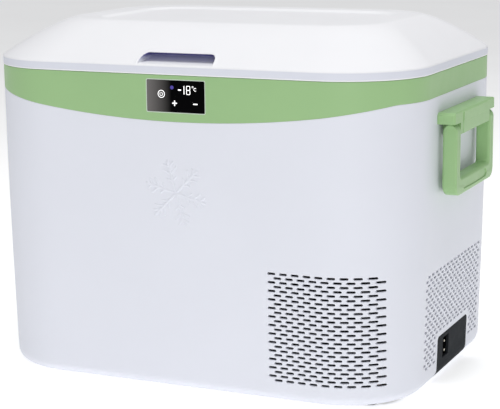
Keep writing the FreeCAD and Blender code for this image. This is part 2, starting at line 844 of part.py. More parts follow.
# ---- fan -----------------------------------------------------------------------------------------
def fan_frame():
    """Square frame with a round duct, and a motor cup held by four struts at its back."""
    half = fan_size / 2
    back = fan_front + fan_depth
    frame = window_y(fan_x - half, fan_x + half, fan_z - half, fan_z + half, 5.0, fan_front, back)
    frame = frame.cut(rod((fan_x, fan_front - 1, fan_z), (fan_x, back + 1, fan_z), fan_bore))
    holes = [rod((x, fan_front - 1, z), (x, back + 1, z), 2.2) for x, z in fan_screw_places()]
    frame = frame.cut(Part.makeCompound(holes))
    cup = rod((fan_x, back - 4.5, fan_z), (fan_x, back, fan_z), fan_hub)
    bearing = rod((fan_x, back - 10, fan_z), (fan_x, back - 4, fan_z), 5.0)
    parts = [frame, cup, bearing]
    for quarter in range(4):
        strut = box(fan_x - 2, fan_x + 2, back - 4, back, fan_z + fan_hub - 2, fan_z + fan_bore + 1)
        strut.rotate(vec(fan_x, 0, fan_z), vec(0, 1, 0), 45 + 90 * quarter)
        parts.append(strut)
    bore = rod((fan_x, back - 11, fan_z), (fan_x, back - 2, fan_z), 2.0 + running_gap)
    return join(parts).cut(bore)


def fan_rotor():
    """Hub cap with its magnet ring, seven twisted blades and the shaft."""
    back = fan_front + fan_depth
    hub_front = fan_front + 3.0
    hub_back = back - 5.0
    hub = rod((fan_x, hub_front, fan_z), (fan_x, hub_back, fan_z), fan_hub)
    hollow = rod((fan_x, hub_front + 4, fan_z), (fan_x, hub_back + 1, fan_z), fan_hub - 3)
    shaft = rod((fan_x, hub_front + 3, fan_z), (fan_x, back - 2.6, fan_z), 2.0)
    parts = [hub.cut(hollow), shaft]
    for number in range(blade_count):
        blade = fan_blade(hub_front + 1.5, hub_back - 1.0)
        blade.rotate(vec(fan_x, 0, fan_z), vec(0, 1, 0), 360 / blade_count * number)
        parts.append(blade)
    return join(parts)


def fan_blade(y0, y1):
    """A blade that turns from steep at the hub to flat at the tip."""
    sections = []
    for reach, lean in ((fan_hub - 1.5, 8.0), (30.0, 10.5), (fan_tip, 12.5)):
        z = fan_z + reach
        corners = [vec(fan_x - lean, y0, z), vec(fan_x - lean + 1.8, y0, z),
                   vec(fan_x + lean, y1, z), vec(fan_x + lean - 1.8, y1, z),
                   vec(fan_x - lean, y0, z)]
        sections.append(Part.makePolygon(corners))
    return Part.makeLoft(sections, True, True)


def fan_screw_places():
    reach = fan_size / 2 - 4.8
    return [(fan_x + sx * reach, fan_z + sz * reach) for sx in (-1, 1) for sz in (-1, 1)]


def fan_bracket():
    """Sheet foot that stands the fan on the floor plate."""
    half = fan_size / 2
    back = fan_front + fan_depth
    low = fan_z - half
    sheet = box(fan_x - half, fan_x + half, back + 0.1, back + 1.3, pan_top, low + 9)
    foot = box(fan_x - half, fan_x + half, back + 0.1, back + 14, pan_top, pan_top + 1.2)
    opening = rod((fan_x, back - 5, fan_z), (fan_x, back + 5, fan_z), fan_bore + 1)
    holes = [rod((x, back - 5, z), (x, back + 5, z), 2.2) for x, z in fan_screw_places()[::2]]
    return join([sheet, foot]).cut(Part.makeCompound([opening] + holes))


def fan_screws():
    """Long screws through the fan's lower corners into its foot."""
    back = fan_front + fan_depth
    return Part.makeCompound([
        join([rod((x, fan_front - 1.8, z), (x, fan_front - 0.02, z), 3.8),
              rod((x, fan_front - 0.5, z), (x, back + 3, z), 2.0)])
        for x, z in fan_screw_places()[::2]])


# ---- electrics -----------------------------------------------------------------------------------
def board_corners():
    return [(x, y) for x in (board_x[0] + 4, board_x[1] - 4)
            for y in (board_y[0] + 4, board_y[1] - 4)]


def control_board():
    """Motor drive board with its larger components."""
    top = board_z + board_sheet
    board = box(board_x[0], board_x[1], board_y[0], board_y[1], board_z, top)
    parts = [board, box(168, 186, 120, 132, top, top + 9)]
    for x, y, r, h in ((116, 132, 5, 16), (116, 146, 5, 16), (130, 150, 4, 12), (182, 148, 8, 10)):
        parts.append(rod((x, y, board_z), (x, y, top + h), r))
    parts.append(box(122, 134, 118, 126, top, top + 8))
    holes = [rod((x, y, 0), (x, y, 40), 1.6) for x, y in board_corners()]
    return join(parts).cut(Part.makeCompound(holes))


def board_standoffs():
    """Moulded posts from the floor plate, each with a peg that snaps through the board."""
    return Part.makeCompound([
        join([rod((x, y, pan_top), (x, y, board_z), 3.2),
              rod((x, y, board_z), (x, y, board_z + board_sheet + 1.5), 1.55)])
        for x, y in board_corners()])


def heat_sink():
    """Finned aluminium block on the board's power transistors."""
    base = board_z + board_sheet
    parts = [box(140, 164, 134, 156, base, base + 3)]
    parts += [box(140 + 4.5 * k, 141.5 + 4.5 * k, 134, 156, base + 2, base + 18) for k in range(6)]
    return join(parts)


def power_lead():
    """From the inlet, over the compressor, to the control board."""
    x = socket_back()
    return tube([(x, socket_y, socket_z), (x - 10, socket_y, socket_z),
                 (x - 10, socket_y, 149.0), (x - 10, 118.0, 149.0), (192.0, 126.0, 149.0),
                 (192.0, 126.0, board_z + board_sheet)], lead_radius, [5.0, 8.0, 12.0, 8.0])


def display_lead_points():
    """The lead's way from the display, down through the foam, to the control board."""
    return [(display_centre_x, display_board_y + 1.7, 312.0), (display_centre_x, lead_y, 312.0),
            (display_centre_x, lead_y, 225.0), (lead_x, lead_y, 225.0), (lead_x, lead_y, 151.0),
            (lead_x, 120.0, 151.0), (lead_x + 24, 128.0, 151.0),
            (lead_x + 24, 128.0, board_z + board_sheet)]


def display_lead():
    return tube(display_lead_points(), lead_radius, display_lead_bends)


def display_lens():
    """Smoked glass of the touch display, flush with the band."""
    half_x = display_width / 2 - display_border
    half_z = display_height / 2 - display_border
    return window_y(display_centre_x - half_x, display_centre_x + half_x,
                    display_centre_z - half_z, display_centre_z + half_z, 1.2,
                    -body_half_y + 0.02, -body_half_y + 2.2)


def display_bezel():
    """Thin frame round the lens, with a box behind it that holds the lens and the board."""
    x0 = display_centre_x - display_width / 2
    x1 = display_centre_x + display_width / 2
    z0 = display_centre_z - display_height / 2
    z1 = display_centre_z + display_height / 2
    rim = display_border
    step = -body_half_y + bezel_rim_depth
    frame = window_y(x0, x1, z0, z1, 2.0, -body_half_y - 0.1, step)
    frame = frame.fuse(window_y(x0 + rim, x1 - rim, z0 + rim, z1 - rim, 2.0, step - 1,
                                display_board_y))
    lens_space = window_y(x0 + rim, x1 - rim, z0 + rim, z1 - rim, 1.2,
                          -body_half_y - 1, -body_half_y + 2.2)
    inside = window_y(x0 + 3.5, x1 - 3.5, z0 + 3.0, z1 - 3.0, 2.0, -body_half_y, display_board_y + 1)
    return frame.cut(lens_space).cut(inside)


def display_board():
    """Small board behind the lens with the number tubes and touch pads on its front."""
    back = display_board_y + board_sheet
    board = box(display_centre_x - 33, display_centre_x + 33, display_board_y, back,
                display_centre_z - 15.5, display_centre_z + 15.5)
    digits = box(display_centre_x + 2, display_centre_x + 26, display_board_y - 3.5,
                 display_board_y, display_centre_z - 2, display_centre_z + 12)
    return join([board, digits])


def display_pocket():
    return box(display_centre_x - 36, display_centre_x + 36, -200, lead_y + lead_radius + 1.2,
               display_centre_z - 17.5, display_centre_z + 17.1)


def temperature_sensor():
    """Sensor capsule held against the outside of the tub."""
    x, z = sensor_place
    y = tub_half_y + liner_wall + 3.4
    return rod((x - 12, y, z), (x + 12, y, z), 3.0)


def sensor_pocket():
    x, z = sensor_place
    y = tub_half_y + liner_wall + 3.4
    return box(x - 13, x + 13, tub_half_y, y + 4, z - 4, z + 4)


# ---- carrying handles: drawn for the right-hand end and mirrored for the left --------------------
def at_side(shape, side):
    if side > 0:
        return shape
    return shape.mirror(vec(0, 0, 0), vec(1, 0, 0))


def handle_screw_places():
    return [(y, 294.5) for y in (-64, -24, 24, 64)]


def handle_bracket(side):
    """Bevelled hood over the bail, with a deep apron between the arms that holds the pivot pins."""
    face = bracket_face_x
    hood = outline((bracket_back_x, hood_underside), (face - 1.2, hood_underside),
                   (face, hood_underside + 1.2), (face, hood_top - 1.6), (face - 2.2, hood_top),
                   (bracket_back_x, hood_top))
    hood.translate(vec(0, -hood_half_y, 0))
    hood = hood.extrude(vec(0, 2 * hood_half_y, 0))
    apron = outline((bracket_back_x, apron_bottom), (face - 3.0, apron_bottom),
                    (face - 0.4, apron_bottom + 1.6), (face - 0.4, hood_underside + 4),
                    (bracket_back_x, hood_underside + 4))
    apron.translate(vec(0, -apron_half_y, 0))
    apron = apron.extrude(vec(0, 2 * apron_half_y, 0))
    body = join([hood, apron])
    for end in (-1, 1):
        body = body.cut(hood_end_trim(end))
    holes = [rod((bail_axis_x, end * 44, bail_axis_z), (bail_axis_x, end * 60, bail_axis_z),
                 bail_pin_radius) for end in (-1, 1)]
    holes += [rod((240, y, z), (262, y, z), 1.9) for y, z in handle_screw_places()]
    return at_side(body.cut(Part.makeCompound(holes)), side)


def hood_end_trim(end):
    """What one end of the bracket loses: a bevel down its corner, a bevel along its upper edge, and
    a thin layer beside the raised middle panel."""
    face = bracket_face_x + 1
    outer = end * (hood_half_y + 1)
    inner = end * (hood_half_y - hood_bevel - 1)
    corner = Part.Face(Part.makePolygon([vec(face, inner, 280), vec(face, outer, 280),
                                         vec(face - hood_bevel - 2, outer, 280),
                                         vec(face, inner, 280)]))
    high = hood_top + 1
    crest = Part.Face(Part.makePolygon([vec(240, inner, high), vec(240, outer, high),
                                        vec(240, outer, high - hood_bevel - 2),
                                        vec(240, inner, high)]))
    y0, y1 = sorted((end * panel_half_y, outer))
    layer = box(face - 1.8, face, y0, y1, apron_bottom - 1, high)
    return join([corner.extrude(vec(0, 0, 30)), crest.extrude(vec(40, 0, 0)), layer])


def handle_bail(side):
    """U-shaped carrying handle, rounded where it turns on its pins, with a finger groove."""
    depth = 2 * (bail_axis_x - bail_inner_x)
    outer = window_x(-bail_half_y, bail_half_y, bail_bottom, bail_axis_z + 20, 10.0,
                     bail_inner_x, bail_inner_x + depth)
    inside = window_x(-bail_half_y + bail_arm, bail_half_y - bail_arm, bail_grip_top,
                      bail_axis_z + 40, 4.0, bail_inner_x - 1, bail_inner_x + depth + 1)
    frame = outer.cut(inside)
    frame = frame.cut(box(240, 290, -100, 100, bail_axis_z, bail_axis_z + 60))
    rim = [e for e in frame.Edges if abs(e.CenterOfMass.x - bail_axis_x) > depth / 2 - 0.1
           and e.CenterOfMass.z < bail_axis_z - 1]
    frame = frame.makeFillet(2.2, rim)
    ends = []
    for end in (-1, 1):
        y0, y1 = sorted((end * (bail_half_y - bail_arm), end * bail_half_y))
        ends.append(rod((bail_axis_x, y0, bail_axis_z), (bail_axis_x, y1, bail_axis_z), depth / 2))
    groove = window_x(-44, 44, bail_bottom + 4, bail_grip_top - 4, 4.9,
                      bail_inner_x + depth - 1.4, bail_inner_x + depth + 1)
    bores = [rod((bail_axis_x, end * 50, bail_axis_z), (bail_axis_x, end * 66, bail_axis_z),
                 bail_pin_radius + running_gap) for end in (-1, 1)]
    bail = join([frame] + ends).cut(Part.makeCompound([groove] + bores))
    return at_side(bail, side)


def handle_pins(side):
    """Steel pins, pressed into the bracket, that the bail turns on."""
    pins = [rod((bail_axis_x, end * 44.2, bail_axis_z), (bail_axis_x, end * 65.6, bail_axis_z),
                bail_pin_radius) for end in (-1, 1)]
    return at_side(Part.makeCompound(pins), side)


def handle_screws():
    """Screws from inside the casing into the two brackets."""
    screws = []
    for side in (1, -1):
        for y, z in handle_screw_places():
            inner = body_half_x - belly(z) - wall - 2.3
            screws.append(join([rod((side * (inner - 2.4), y, z), (side * inner, y, z), 4.0),
                                rod((side * (inner - 1), y, z), (side * 261, y, z), 1.9)]))
    return Part.makeCompound(screws)


# ---- lid -----------------------------------------------------------------------------------------
def lid_solid(depth, bottom):
    """The lid's filled shape, a given depth below its outer surface."""
    shares = (0.0, 0.12, 0.27, 0.44, 0.62, 0.8, 1.0)
    wires = []
    for share in shares:
        half_x = body_half_x + lid_overhang - dome_run_x * share - depth
        half_y = body_half_y + lid_overhang - dome_run_y * share - depth
        radius = corner_radius - dome_corner_loss * share - depth
        height = lid_line + lid_skirt - depth + dome_rise * (1 - (1 - share) ** dome_power)
        wires.append(flat_outline(half_x, half_y, radius, height))
    dome = Part.makeLoft(wires, True, False)
    skirt = rounded_plate(body_half_x + lid_overhang - depth, body_half_y + lid_overhang - depth,
                          corner_radius - depth, bottom, lid_line + lid_skirt - depth)
    return join([dome, skirt])


def flat_outline(half_x, half_y, radius, height):
    plate = rounded_plate(half_x, half_y, radius, height, height + 1)
    lowest = min(plate.Faces, key=lambda face: face.CenterOfMass.z)
    return lowest.OuterWire


def lid_top():
    return lid_line + lid_skirt + dome_rise


def tray_hollow():
    """Shallow recess in the lid's flat top, with sloping sides."""
    floor = lid_top() - tray_depth
    lower = flat_outline(tray_half[0] - 4.5, tray_half[1] - 4.5, 38.0, floor)
    upper = flat_outline(tray_half[0] + 1.8, tray_half[1] + 1.8, 44.0, lid_top() + 1.0)
    hollow = Part.makeLoft([lower, upper], True, True)
    hollow.translate(vec(tray_centre[0], tray_centre[1], 0))
    return hollow


def scoop_hollow(margin):
    """Finger recess in the front of the lid: a dished floor under an overhanging lip."""
    front = -body_half_y - 10
    floor = lid_line + lid_skirt + 0.4 - margin
    roof = scoop_top + margin
    back = scoop_back_y + margin
    side_view = outline((front, floor), (-body_half_y + 6, floor),
                        ((back - 11, floor + 1.6), (back, floor + 6.5)), (back, roof - 1),
                        (back - 1, roof), (front, roof))
    side_view.rotate(vec(0, 0, 0), vec(0, 0, 1), 90)
    half = scoop_half_width + margin
    side_view.translate(vec(-half, 0, 0))
    across = side_view.extrude(vec(2 * half, 0, 0))
    mouth = window_y(-half, half, floor - 30, roof, 8.0 + margin, front - 5, back + 5)
    return across.common(mouth)


def lid_cover():
    """White moulded top, with the finger recess, the tray and a wall of its own round both."""
    outer = lid_solid(0, lid_line)
    hollow_top = lid_top() - tray_depth - lid_wall
    inner = lid_solid(lid_wall, lid_line - 5)
    inner = inner.cut(box(-300, 300, -300, 300, hollow_top, 500))
    inner = inner.cut(scoop_hollow(lid_wall))
    holes = [rod((x, 180, z), (x, 195, z), 1.6) for x, z in lid_leaf_screw_places()]
    cover = outer.cut(inner).cut(scoop_hollow(0)).cut(tray_hollow())
    return cover.cut(Part.makeCompound(holes))


def lid_inner_panel():
    """White panel that closes the lid underneath, with a plug that drops into the tub's mouth."""
    edge = lid_wall + 0.2
    plate = rounded_plate(body_half_x + lid_overhang - edge, body_half_y + lid_overhang - edge,
                          corner_radius - edge, lid_panel_bottom, lid_panel_top)
    plug = rounded_block(tub_half_x - 8, tub_half_y - 8, tub_corner - 8, lid_line - 11,
                         lid_panel_top, 6.0)
    hollow = rounded_block(tub_half_x - 10, tub_half_y - 10, tub_corner - 10, lid_line - 9,
                           lid_panel_top + 1, 4.0)
    return join([plate, plug]).cut(hollow)


def lid_foam():
    """Foam that fills the lid and its plug."""
    upper = lid_solid(lid_wall + 0.5, lid_panel_top + 0.1)
    upper = upper.cut(box(-300, 300, -300, 300, lid_top() - tray_depth - lid_wall - 0.3, 500))
    upper = upper.cut(scoop_hollow(lid_wall + 0.5))
    plug = rounded_block(tub_half_x - 10.3, tub_half_y - 10.3, tub_corner - 10.3, lid_line - 8.7,
                         lid_panel_top + 1, 4.0)
    screws = [rod((x, 170, z), (x, 195, z), 1.9) for x, z in lid_leaf_screw_places()]
    return join([upper, plug]).cut(Part.makeCompound(screws))


def lid_gasket():
    """Soft hollow seal under the lid that meets the flange round the tub."""
    low = liner_flange_top + 0.3
    high = lid_panel_bottom
    middle = (low + high) / 2
    profile = outline((20, high), (19.4, middle), ((23.4, low), (27.4, middle)), (26.8, high))
    bore = outline((21.4, middle + 1.3), (25.4, middle + 1.3),
                   ((23.4, low + 1.0), (21.4, middle + 1.3)))
    return body_wrap(profile.cut(bore).Faces[0])


# ---- lid hinges ----------------------------------------------------------------------------------
def body_leaf_screw_places():
    return [(centre + dx, 314.0) for centre in hinge_centres_x for dx in (-18, 18)]


def lid_leaf_screw_places():
    return [(centre + dx, lid_line + 4.6) for centre in hinge_centres_x for dx in (-20, 20)]


def knuckle(x0, x1):
    return rod((x0, hinge_axis_y, hinge_axis_z), (x1, hinge_axis_y, hinge_axis_z), knuckle_radius)


def stop_lug(x0, x1, start, sweep):
    """A sector of a knuckle, from an angle above the level that points to the back."""
    face = Part.Face(Part.makePolygon([vec(x0, 0, 0), vec(x1, 0, 0), vec(x1, knuckle_radius, 0),
                                       vec(x0, knuckle_radius, 0), vec(x0, 0, 0)]))
    lug = face.revolve(vec(0, 0, 0), vec(1, 0, 0), sweep)
    lug.rotate(vec(0, 0, 0), vec(1, 0, 0), start)
    lug.translate(vec(0, hinge_axis_y, hinge_axis_z))
    return lug


def countersinks(places, face_y, radius):
    """Screw holes with cone-shaped mouths in a leaf whose outer face is at face_y."""
    cuts = []
    for x, z in places:
        cuts.append(rod((x, face_y - 10, z), (x, face_y + 1, z), radius))
        cuts.append(Part.makeCone(radius, radius + 1.4, 1.4, vec(x, face_y - 1.4, z), vec(0, 1, 0)))
    return cuts


def body_hinge_leaves():
    """Plates screwed to the casing, each with two outer knuckles that carry the lid's stop lugs."""
    plate_y = body_half_y + 0.05
    leaves = []
    for centre in hinge_centres_x:
        left = centre - hinge_half_width
        right = centre + hinge_half_width
        plate = window_y(left, right, 305.0, hinge_axis_z - knuckle_radius - 0.8, 2.0,
                         plate_y, plate_y + 1.8)
        parts = [plate]
        inner = knuckle_half_width + stop_space
        for x0, x1 in ((left, centre - inner), (centre + inner, right)):
            arm = box(x0, x1, plate_y, hinge_axis_y, hinge_axis_z - 8, hinge_axis_z)
            parts += [knuckle(x0, x1), arm]
        parts.append(stop_lug(centre - inner - 1, centre - inner + stop_dog, -40, 58))
        parts.append(stop_lug(centre + inner - stop_dog, centre + inner + 1, -40, 58))
        leaves.append(join(parts))
    cuts = countersinks(body_leaf_screw_places(), plate_y + 1.8, 1.6)
    cuts.append(rod((-200, hinge_axis_y, hinge_axis_z), (200, hinge_axis_y, hinge_axis_z),
                    hinge_pin_radius))
    return Part.makeCompound(leaves).cut(Part.makeCompound(cuts))


def lid_hinge_leaves():
    """Plates screwed to the lid's skirt, each with the middle knuckle, whose end lugs meet the body
    leaf's lugs when the lid is a little past upright."""
    plate_y = body_half_y + lid_overhang + 0.05
    leaves = []
    for centre in hinge_centres_x:
        plate = window_y(centre - hinge_half_width, centre + hinge_half_width,
                         hinge_axis_z + knuckle_radius + 0.8, lid_line + 8.8, 2.0,
                         plate_y, plate_y + 1.8)
        x0 = centre - knuckle_half_width
        x1 = centre + knuckle_half_width
        arm = box(x0, x1, plate_y, hinge_axis_y, hinge_axis_z, hinge_axis_z + 6)
        lugs = [stop_lug(x0 - stop_dog, x0 + 1, 120, 60), stop_lug(x1 - 1, x1 + stop_dog, 120, 60)]
        leaves.append(join([plate, knuckle(x0, x1), arm] + lugs))
    cuts = countersinks(lid_leaf_screw_places(), plate_y + 1.8, 1.6)
    cuts.append(rod((-200, hinge_axis_y, hinge_axis_z), (200, hinge_axis_y, hinge_axis_z),
                    hinge_pin_radius + running_gap))
    return Part.makeCompound(leaves).cut(Part.makeCompound(cuts))


def hinge_pins():
    return Part.makeCompound([
        rod((centre - hinge_half_width + 0.5, hinge_axis_y, hinge_axis_z),
            (centre + hinge_half_width - 0.5, hinge_axis_y, hinge_axis_z), hinge_pin_radius)
        for centre in hinge_centres_x])


def leaf_screws(places, face_y):
    """Countersunk screws that hold the hinge leaves."""
    screws = []
    for x, z in places:
        head = Part.makeCone(1.5, 2.9, 1.4, vec(x, face_y - 1.4, z), vec(0, 1, 0))
        screws.append(join([head, rod((x, face_y - 11, z), (x, face_y - 1, z), 1.5)]))
    return Part.makeCompound(screws)


# ---- build everything ----------------------------------------------------------------------------
def build():
    os.makedirs("parts", exist_ok=True)
    skin = casing_skin()
    save("outer_shell", outer_shell(skin))
    save("trim_band", trim_band(skin))
    save("front_vent_grille", front_vent_grille())
    save("side_vent_grille", side_vent_grille())
    save("connector_panel", connector_panel(skin))
    save("dc_socket", dc_socket())
    save("dc_contacts", dc_contacts())
    save("base_pan", base_pan())
    save("base_screws", base_screws())
    save("rubber_feet", rubber_feet())
    save("inner_liner", inner_liner())
    save("foam_insulation", foam_insulation())
    save("bay_partition", bay_partition())
    save("temperature_sensor", temperature_sensor())

    save("evaporator_coil", evaporator_coil())
    save("compressor_shell", compressor_shell())
    save("compressor_pump", compressor_pump())
    save("compressor_terminal_cover", compressor_terminal_cover())
    save("compressor_grommets", compressor_grommets())
    save("compressor_studs", compressor_studs())
    save("condenser_tube", condenser_tube())
    save("condenser_fins", condenser_fins())
    save("condenser_end_plates", condenser_end_plates())
    save("discharge_line", discharge_line())
    save("liquid_line", liquid_line())
    save("filter_drier", filter_drier())
    save("capillary_tube", capillary_tube())
    save("suction_line", suction_line())
    save("fan_frame", fan_frame())
    save("fan_rotor", fan_rotor())
    save("fan_bracket", fan_bracket())
    save("fan_screws", fan_screws())

    save("control_board", control_board())
    save("board_standoffs", board_standoffs())
    save("heat_sink", heat_sink())
    save("power_lead", power_lead())
    save("display_lead", display_lead())
    save("display_board", display_board())
    save("display_bezel", display_bezel())
    save("display_lens", display_lens())

    for side, word in ((1, "right"), (-1, "left")):
        save("handle_bracket_" + word, handle_bracket(side))
        save("handle_bail_" + word, handle_bail(side))
        save("handle_pins_" + word, handle_pins(side))
    save("handle_screws", handle_screws())

    save("lid_cover", lid_cover())
    save("lid_inner_panel", lid_inner_panel())
    save("lid_foam", lid_foam())
    save("lid_gasket", lid_gasket())
    save("body_hinge_leaves", body_hinge_leaves())
    save("lid_hinge_leaves", lid_hinge_leaves())
    save("hinge_pins", hinge_pins())
    save("body_hinge_screws", leaf_screws(body_leaf_screw_places(), body_half_y + 1.85))
    save("lid_hinge_screws", leaf_screws(lid_leaf_screw_places(),
                                         body_half_y + lid_overhang + 1.85))


build()
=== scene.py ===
import math

import bmesh
import bpy
from mathutils import Matrix, Vector


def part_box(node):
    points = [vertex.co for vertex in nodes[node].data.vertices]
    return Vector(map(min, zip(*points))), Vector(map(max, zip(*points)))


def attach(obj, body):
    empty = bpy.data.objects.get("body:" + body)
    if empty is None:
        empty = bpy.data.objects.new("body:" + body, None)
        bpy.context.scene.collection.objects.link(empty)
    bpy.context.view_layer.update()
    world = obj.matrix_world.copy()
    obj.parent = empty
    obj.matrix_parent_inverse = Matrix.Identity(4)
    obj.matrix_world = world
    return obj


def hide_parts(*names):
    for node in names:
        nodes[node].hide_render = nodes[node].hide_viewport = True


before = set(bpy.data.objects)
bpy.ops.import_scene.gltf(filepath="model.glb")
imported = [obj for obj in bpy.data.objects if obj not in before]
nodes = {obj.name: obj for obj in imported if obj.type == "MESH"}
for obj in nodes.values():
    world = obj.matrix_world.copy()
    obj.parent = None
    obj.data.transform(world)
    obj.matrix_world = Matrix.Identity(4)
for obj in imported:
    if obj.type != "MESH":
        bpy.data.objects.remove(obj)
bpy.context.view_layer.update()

MM = 0.001

# ---- sizes in millimetres, repeated from the CAD source, heights from the casing's underside ------
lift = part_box("rubber_feet")[1].z / MM
half_x = 250.0
half_y = 190.7
corner = 93.0
lid_line = 342.4
belly_radius = 11000.0
fillet = 13.0
wall = 2.8
band_top = 341.9
band_side = 316.8
band_front = 293.0
band_arc = 1150.0
slot_long = 9.0
slot_tall = 2.6
slot_pitch = 13.1
row_pitch = 4.63
lowest_row = 23.5
front_rows = 26
front_columns = 9
front_first = 108.5
side_rows = 23
side_columns = 15
side_first = -93.0
panel_y = (-50.0, 59.0)
panel_z = (3.0, 48.7)
socket_y = -20.5
socket_z = 32.0
socket_wide = 21.0
socket_tall = 23.0
display_x = 2.0
display_z = 320.0
display_wide = 69.2
display_tall = 35.6


# ---- materials -----------------------------------------------------------------------------------
def new_material(name):
    """A node material, with its node tree and its shader."""
    material = bpy.data.materials.new(name)
    material.use_nodes = True
    tree = material.node_tree
    shader = tree.nodes["Principled BSDF"]
    return material, tree, shader


def node(tree, kind, **settings):
    """Adds a node. Each setting is one of its inputs or one of its own properties."""
    made = tree.nodes.new(kind)
    for key, value in settings.items():
        if key in made.inputs:
            made.inputs[key].default_value = value
        else:
            setattr(made, key, value)
    return made


def noise(tree, scale, detail=3.0, roughness=0.55):
    """Noise fixed to the object."""
    place = node(tree, "ShaderNodeTexCoord")
    made = node(tree, "ShaderNodeTexNoise", Scale=scale, Detail=detail, Roughness=roughness)
    tree.links.new(place.outputs["Object"], made.inputs["Vector"])
    return made


def object_axis(tree, axis):
    """One of a point's own places on the object, in metres."""
    place = node(tree, "ShaderNodeTexCoord")
    split = node(tree, "ShaderNodeSeparateXYZ")
    tree.links.new(place.outputs["Object"], split.inputs["Vector"])
    return split.outputs[axis]


def add_bump(tree, shader, source, strength, distance=0.0002):
    bump = node(tree, "ShaderNodeBump", Strength=strength, Distance=distance)
    tree.links.new(source, bump.inputs["Height"])
    tree.links.new(bump.outputs["Normal"], shader.inputs["Normal"])


def blend_range(tree, source, low, high):
    """Maps a 0 to 1 source onto a range of numbers."""
    made = node(tree, "ShaderNodeMapRange")
    made.inputs["From Min"].default_value = 0.3
    made.inputs["From Max"].default_value = 0.7
    made.inputs["To Min"].default_value = low
    made.inputs["To Max"].default_value = high
    tree.links.new(source, made.inputs["Value"])
    return made.outputs["Result"]


def blend_colour(tree, source, first, second, low=0.3, high=0.7):
    """Colour that runs from the first to the second while the source runs from low to high."""
    made = node(tree, "ShaderNodeValToRGB")
    made.color_ramp.elements[0].position = low
    made.color_ramp.elements[1].position = high
    made.color_ramp.elements[0].color = (*first, 1)
    made.color_ramp.elements[1].color = (*second, 1)
    tree.links.new(source, made.inputs["Fac"])
    return made.outputs["Color"]


def shade(colour, factor):
    return tuple(min(1.0, c * factor) for c in colour)


def moulded(name, colour, rough=0.42, grain=0.05, grain_size=0.0007, drift=0.03, coat=0.0,
            specular=0.5):
    """Moulded plastic: a fine spark-eroded grain, slow drift of tone, and rub marks in the gloss."""
    material, tree, shader = new_material(name)
    slow = noise(tree, 9.0, 4.0)
    colour_out = blend_colour(tree, slow.outputs["Fac"], shade(colour, 1 - drift),
                              shade(colour, 1 + drift))
    tree.links.new(colour_out, shader.inputs["Base Color"])
    rub = noise(tree, 55.0, 6.0, 0.7)
    tree.links.new(blend_range(tree, rub.outputs["Fac"], rough - 0.05, rough + 0.06),
                   shader.inputs["Roughness"])
    fine = noise(tree, 1.0 / grain_size, 2.0, 0.6)
    add_bump(tree, shader, fine.outputs["Fac"], grain)
    shader.inputs["Specular IOR Level"].default_value = specular
    if coat:
        shader.inputs["Coat Weight"].default_value = coat
        shader.inputs["Coat Roughness"].default_value = 0.15
    return material


def paint_shade_by_height(material, low, high, tones):
    """Paints shade into a material's colour: multiplies it by a row of tones from one height to
    another.
    """
    tree = material.node_tree
    shader = tree.nodes["Principled BSDF"]
    plain = shader.inputs["Base Color"].links[0].from_socket
    rise = node(tree, "ShaderNodeMapRange")
    rise.inputs["From Min"].default_value = (low + lift) * MM
    rise.inputs["From Max"].default_value = (high + lift) * MM
    tree.links.new(object_axis(tree, "Z"), rise.inputs["Value"])
    ramp = node(tree, "ShaderNodeValToRGB")
    stops = ramp.color_ramp.elements
    while len(stops) < len(tones):
        stops.new(0.5)
    for stop, (position, tone) in zip(stops, tones):
        stop.position = position
        stop.color = (*tone, 1)
    tree.links.new(rise.outputs["Result"], ramp.inputs["Fac"])
    mix = node(tree, "ShaderNodeMix", data_type="RGBA", blend_type="MULTIPLY")
    mix.inputs["Factor"].default_value = 1.0
    tree.links.new(plain, mix.inputs[6])
    tree.links.new(ramp.outputs["Color"], mix.inputs[7])
    tree.links.new(mix.outputs[2], shader.inputs["Base Color"])
    return material


def metal(name, colour, rough=0.3, brushed=0.0, drift=0.06):
    """Bare metal: mottled tone and roughness, and optional brushing along X."""
    material, tree, shader = new_material(name)
    slow = noise(tree, 60.0, 5.0)
    colour_out = blend_colour(tree, slow.outputs["Fac"], shade(colour, 1 - drift),
                              shade(colour, 1 + drift))
    tree.links.new(colour_out, shader.inputs["Base Color"])
    spots = noise(tree, 260.0, 5.0, 0.7)
    tree.links.new(blend_range(tree, spots.outputs["Fac"], rough - 0.08, rough + 0.12),
                   shader.inputs["Roughness"])
    fine = noise(tree, 900.0, 3.0)
    if brushed:
        stretch = node(tree, "ShaderNodeMapping")
        stretch.inputs["Scale"].default_value = (0.04, 1.0, 1.0)
        place = node(tree, "ShaderNodeTexCoord")
        tree.links.new(place.outputs["Object"], stretch.inputs["Vector"])
        tree.links.new(stretch.outputs["Vector"], fine.inputs["Vector"])
    add_bump(tree, shader, fine.outputs["Fac"], 0.12 + brushed)
    shader.inputs["Metallic"].default_value = 1.0
    return material


def foam_material(name, colour):
    """Cut polyurethane foam: open cells and a mottled cream tone."""
    material, tree, shader = new_material(name)
    place = node(tree, "ShaderNodeTexCoord")
    cells = node(tree, "ShaderNodeTexVoronoi", Scale=600.0)
    tree.links.new(place.outputs["Object"], cells.inputs["Vector"])
    colour_out = blend_colour(tree, cells.outputs["Distance"], shade(colour, 0.75), colour, 0.0, 0.5)
    tree.links.new(colour_out, shader.inputs["Base Color"])
    add_bump(tree, shader, cells.outputs["Distance"], 0.6, 0.0005)
    shader.inputs["Roughness"].default_value = 0.95
    return material


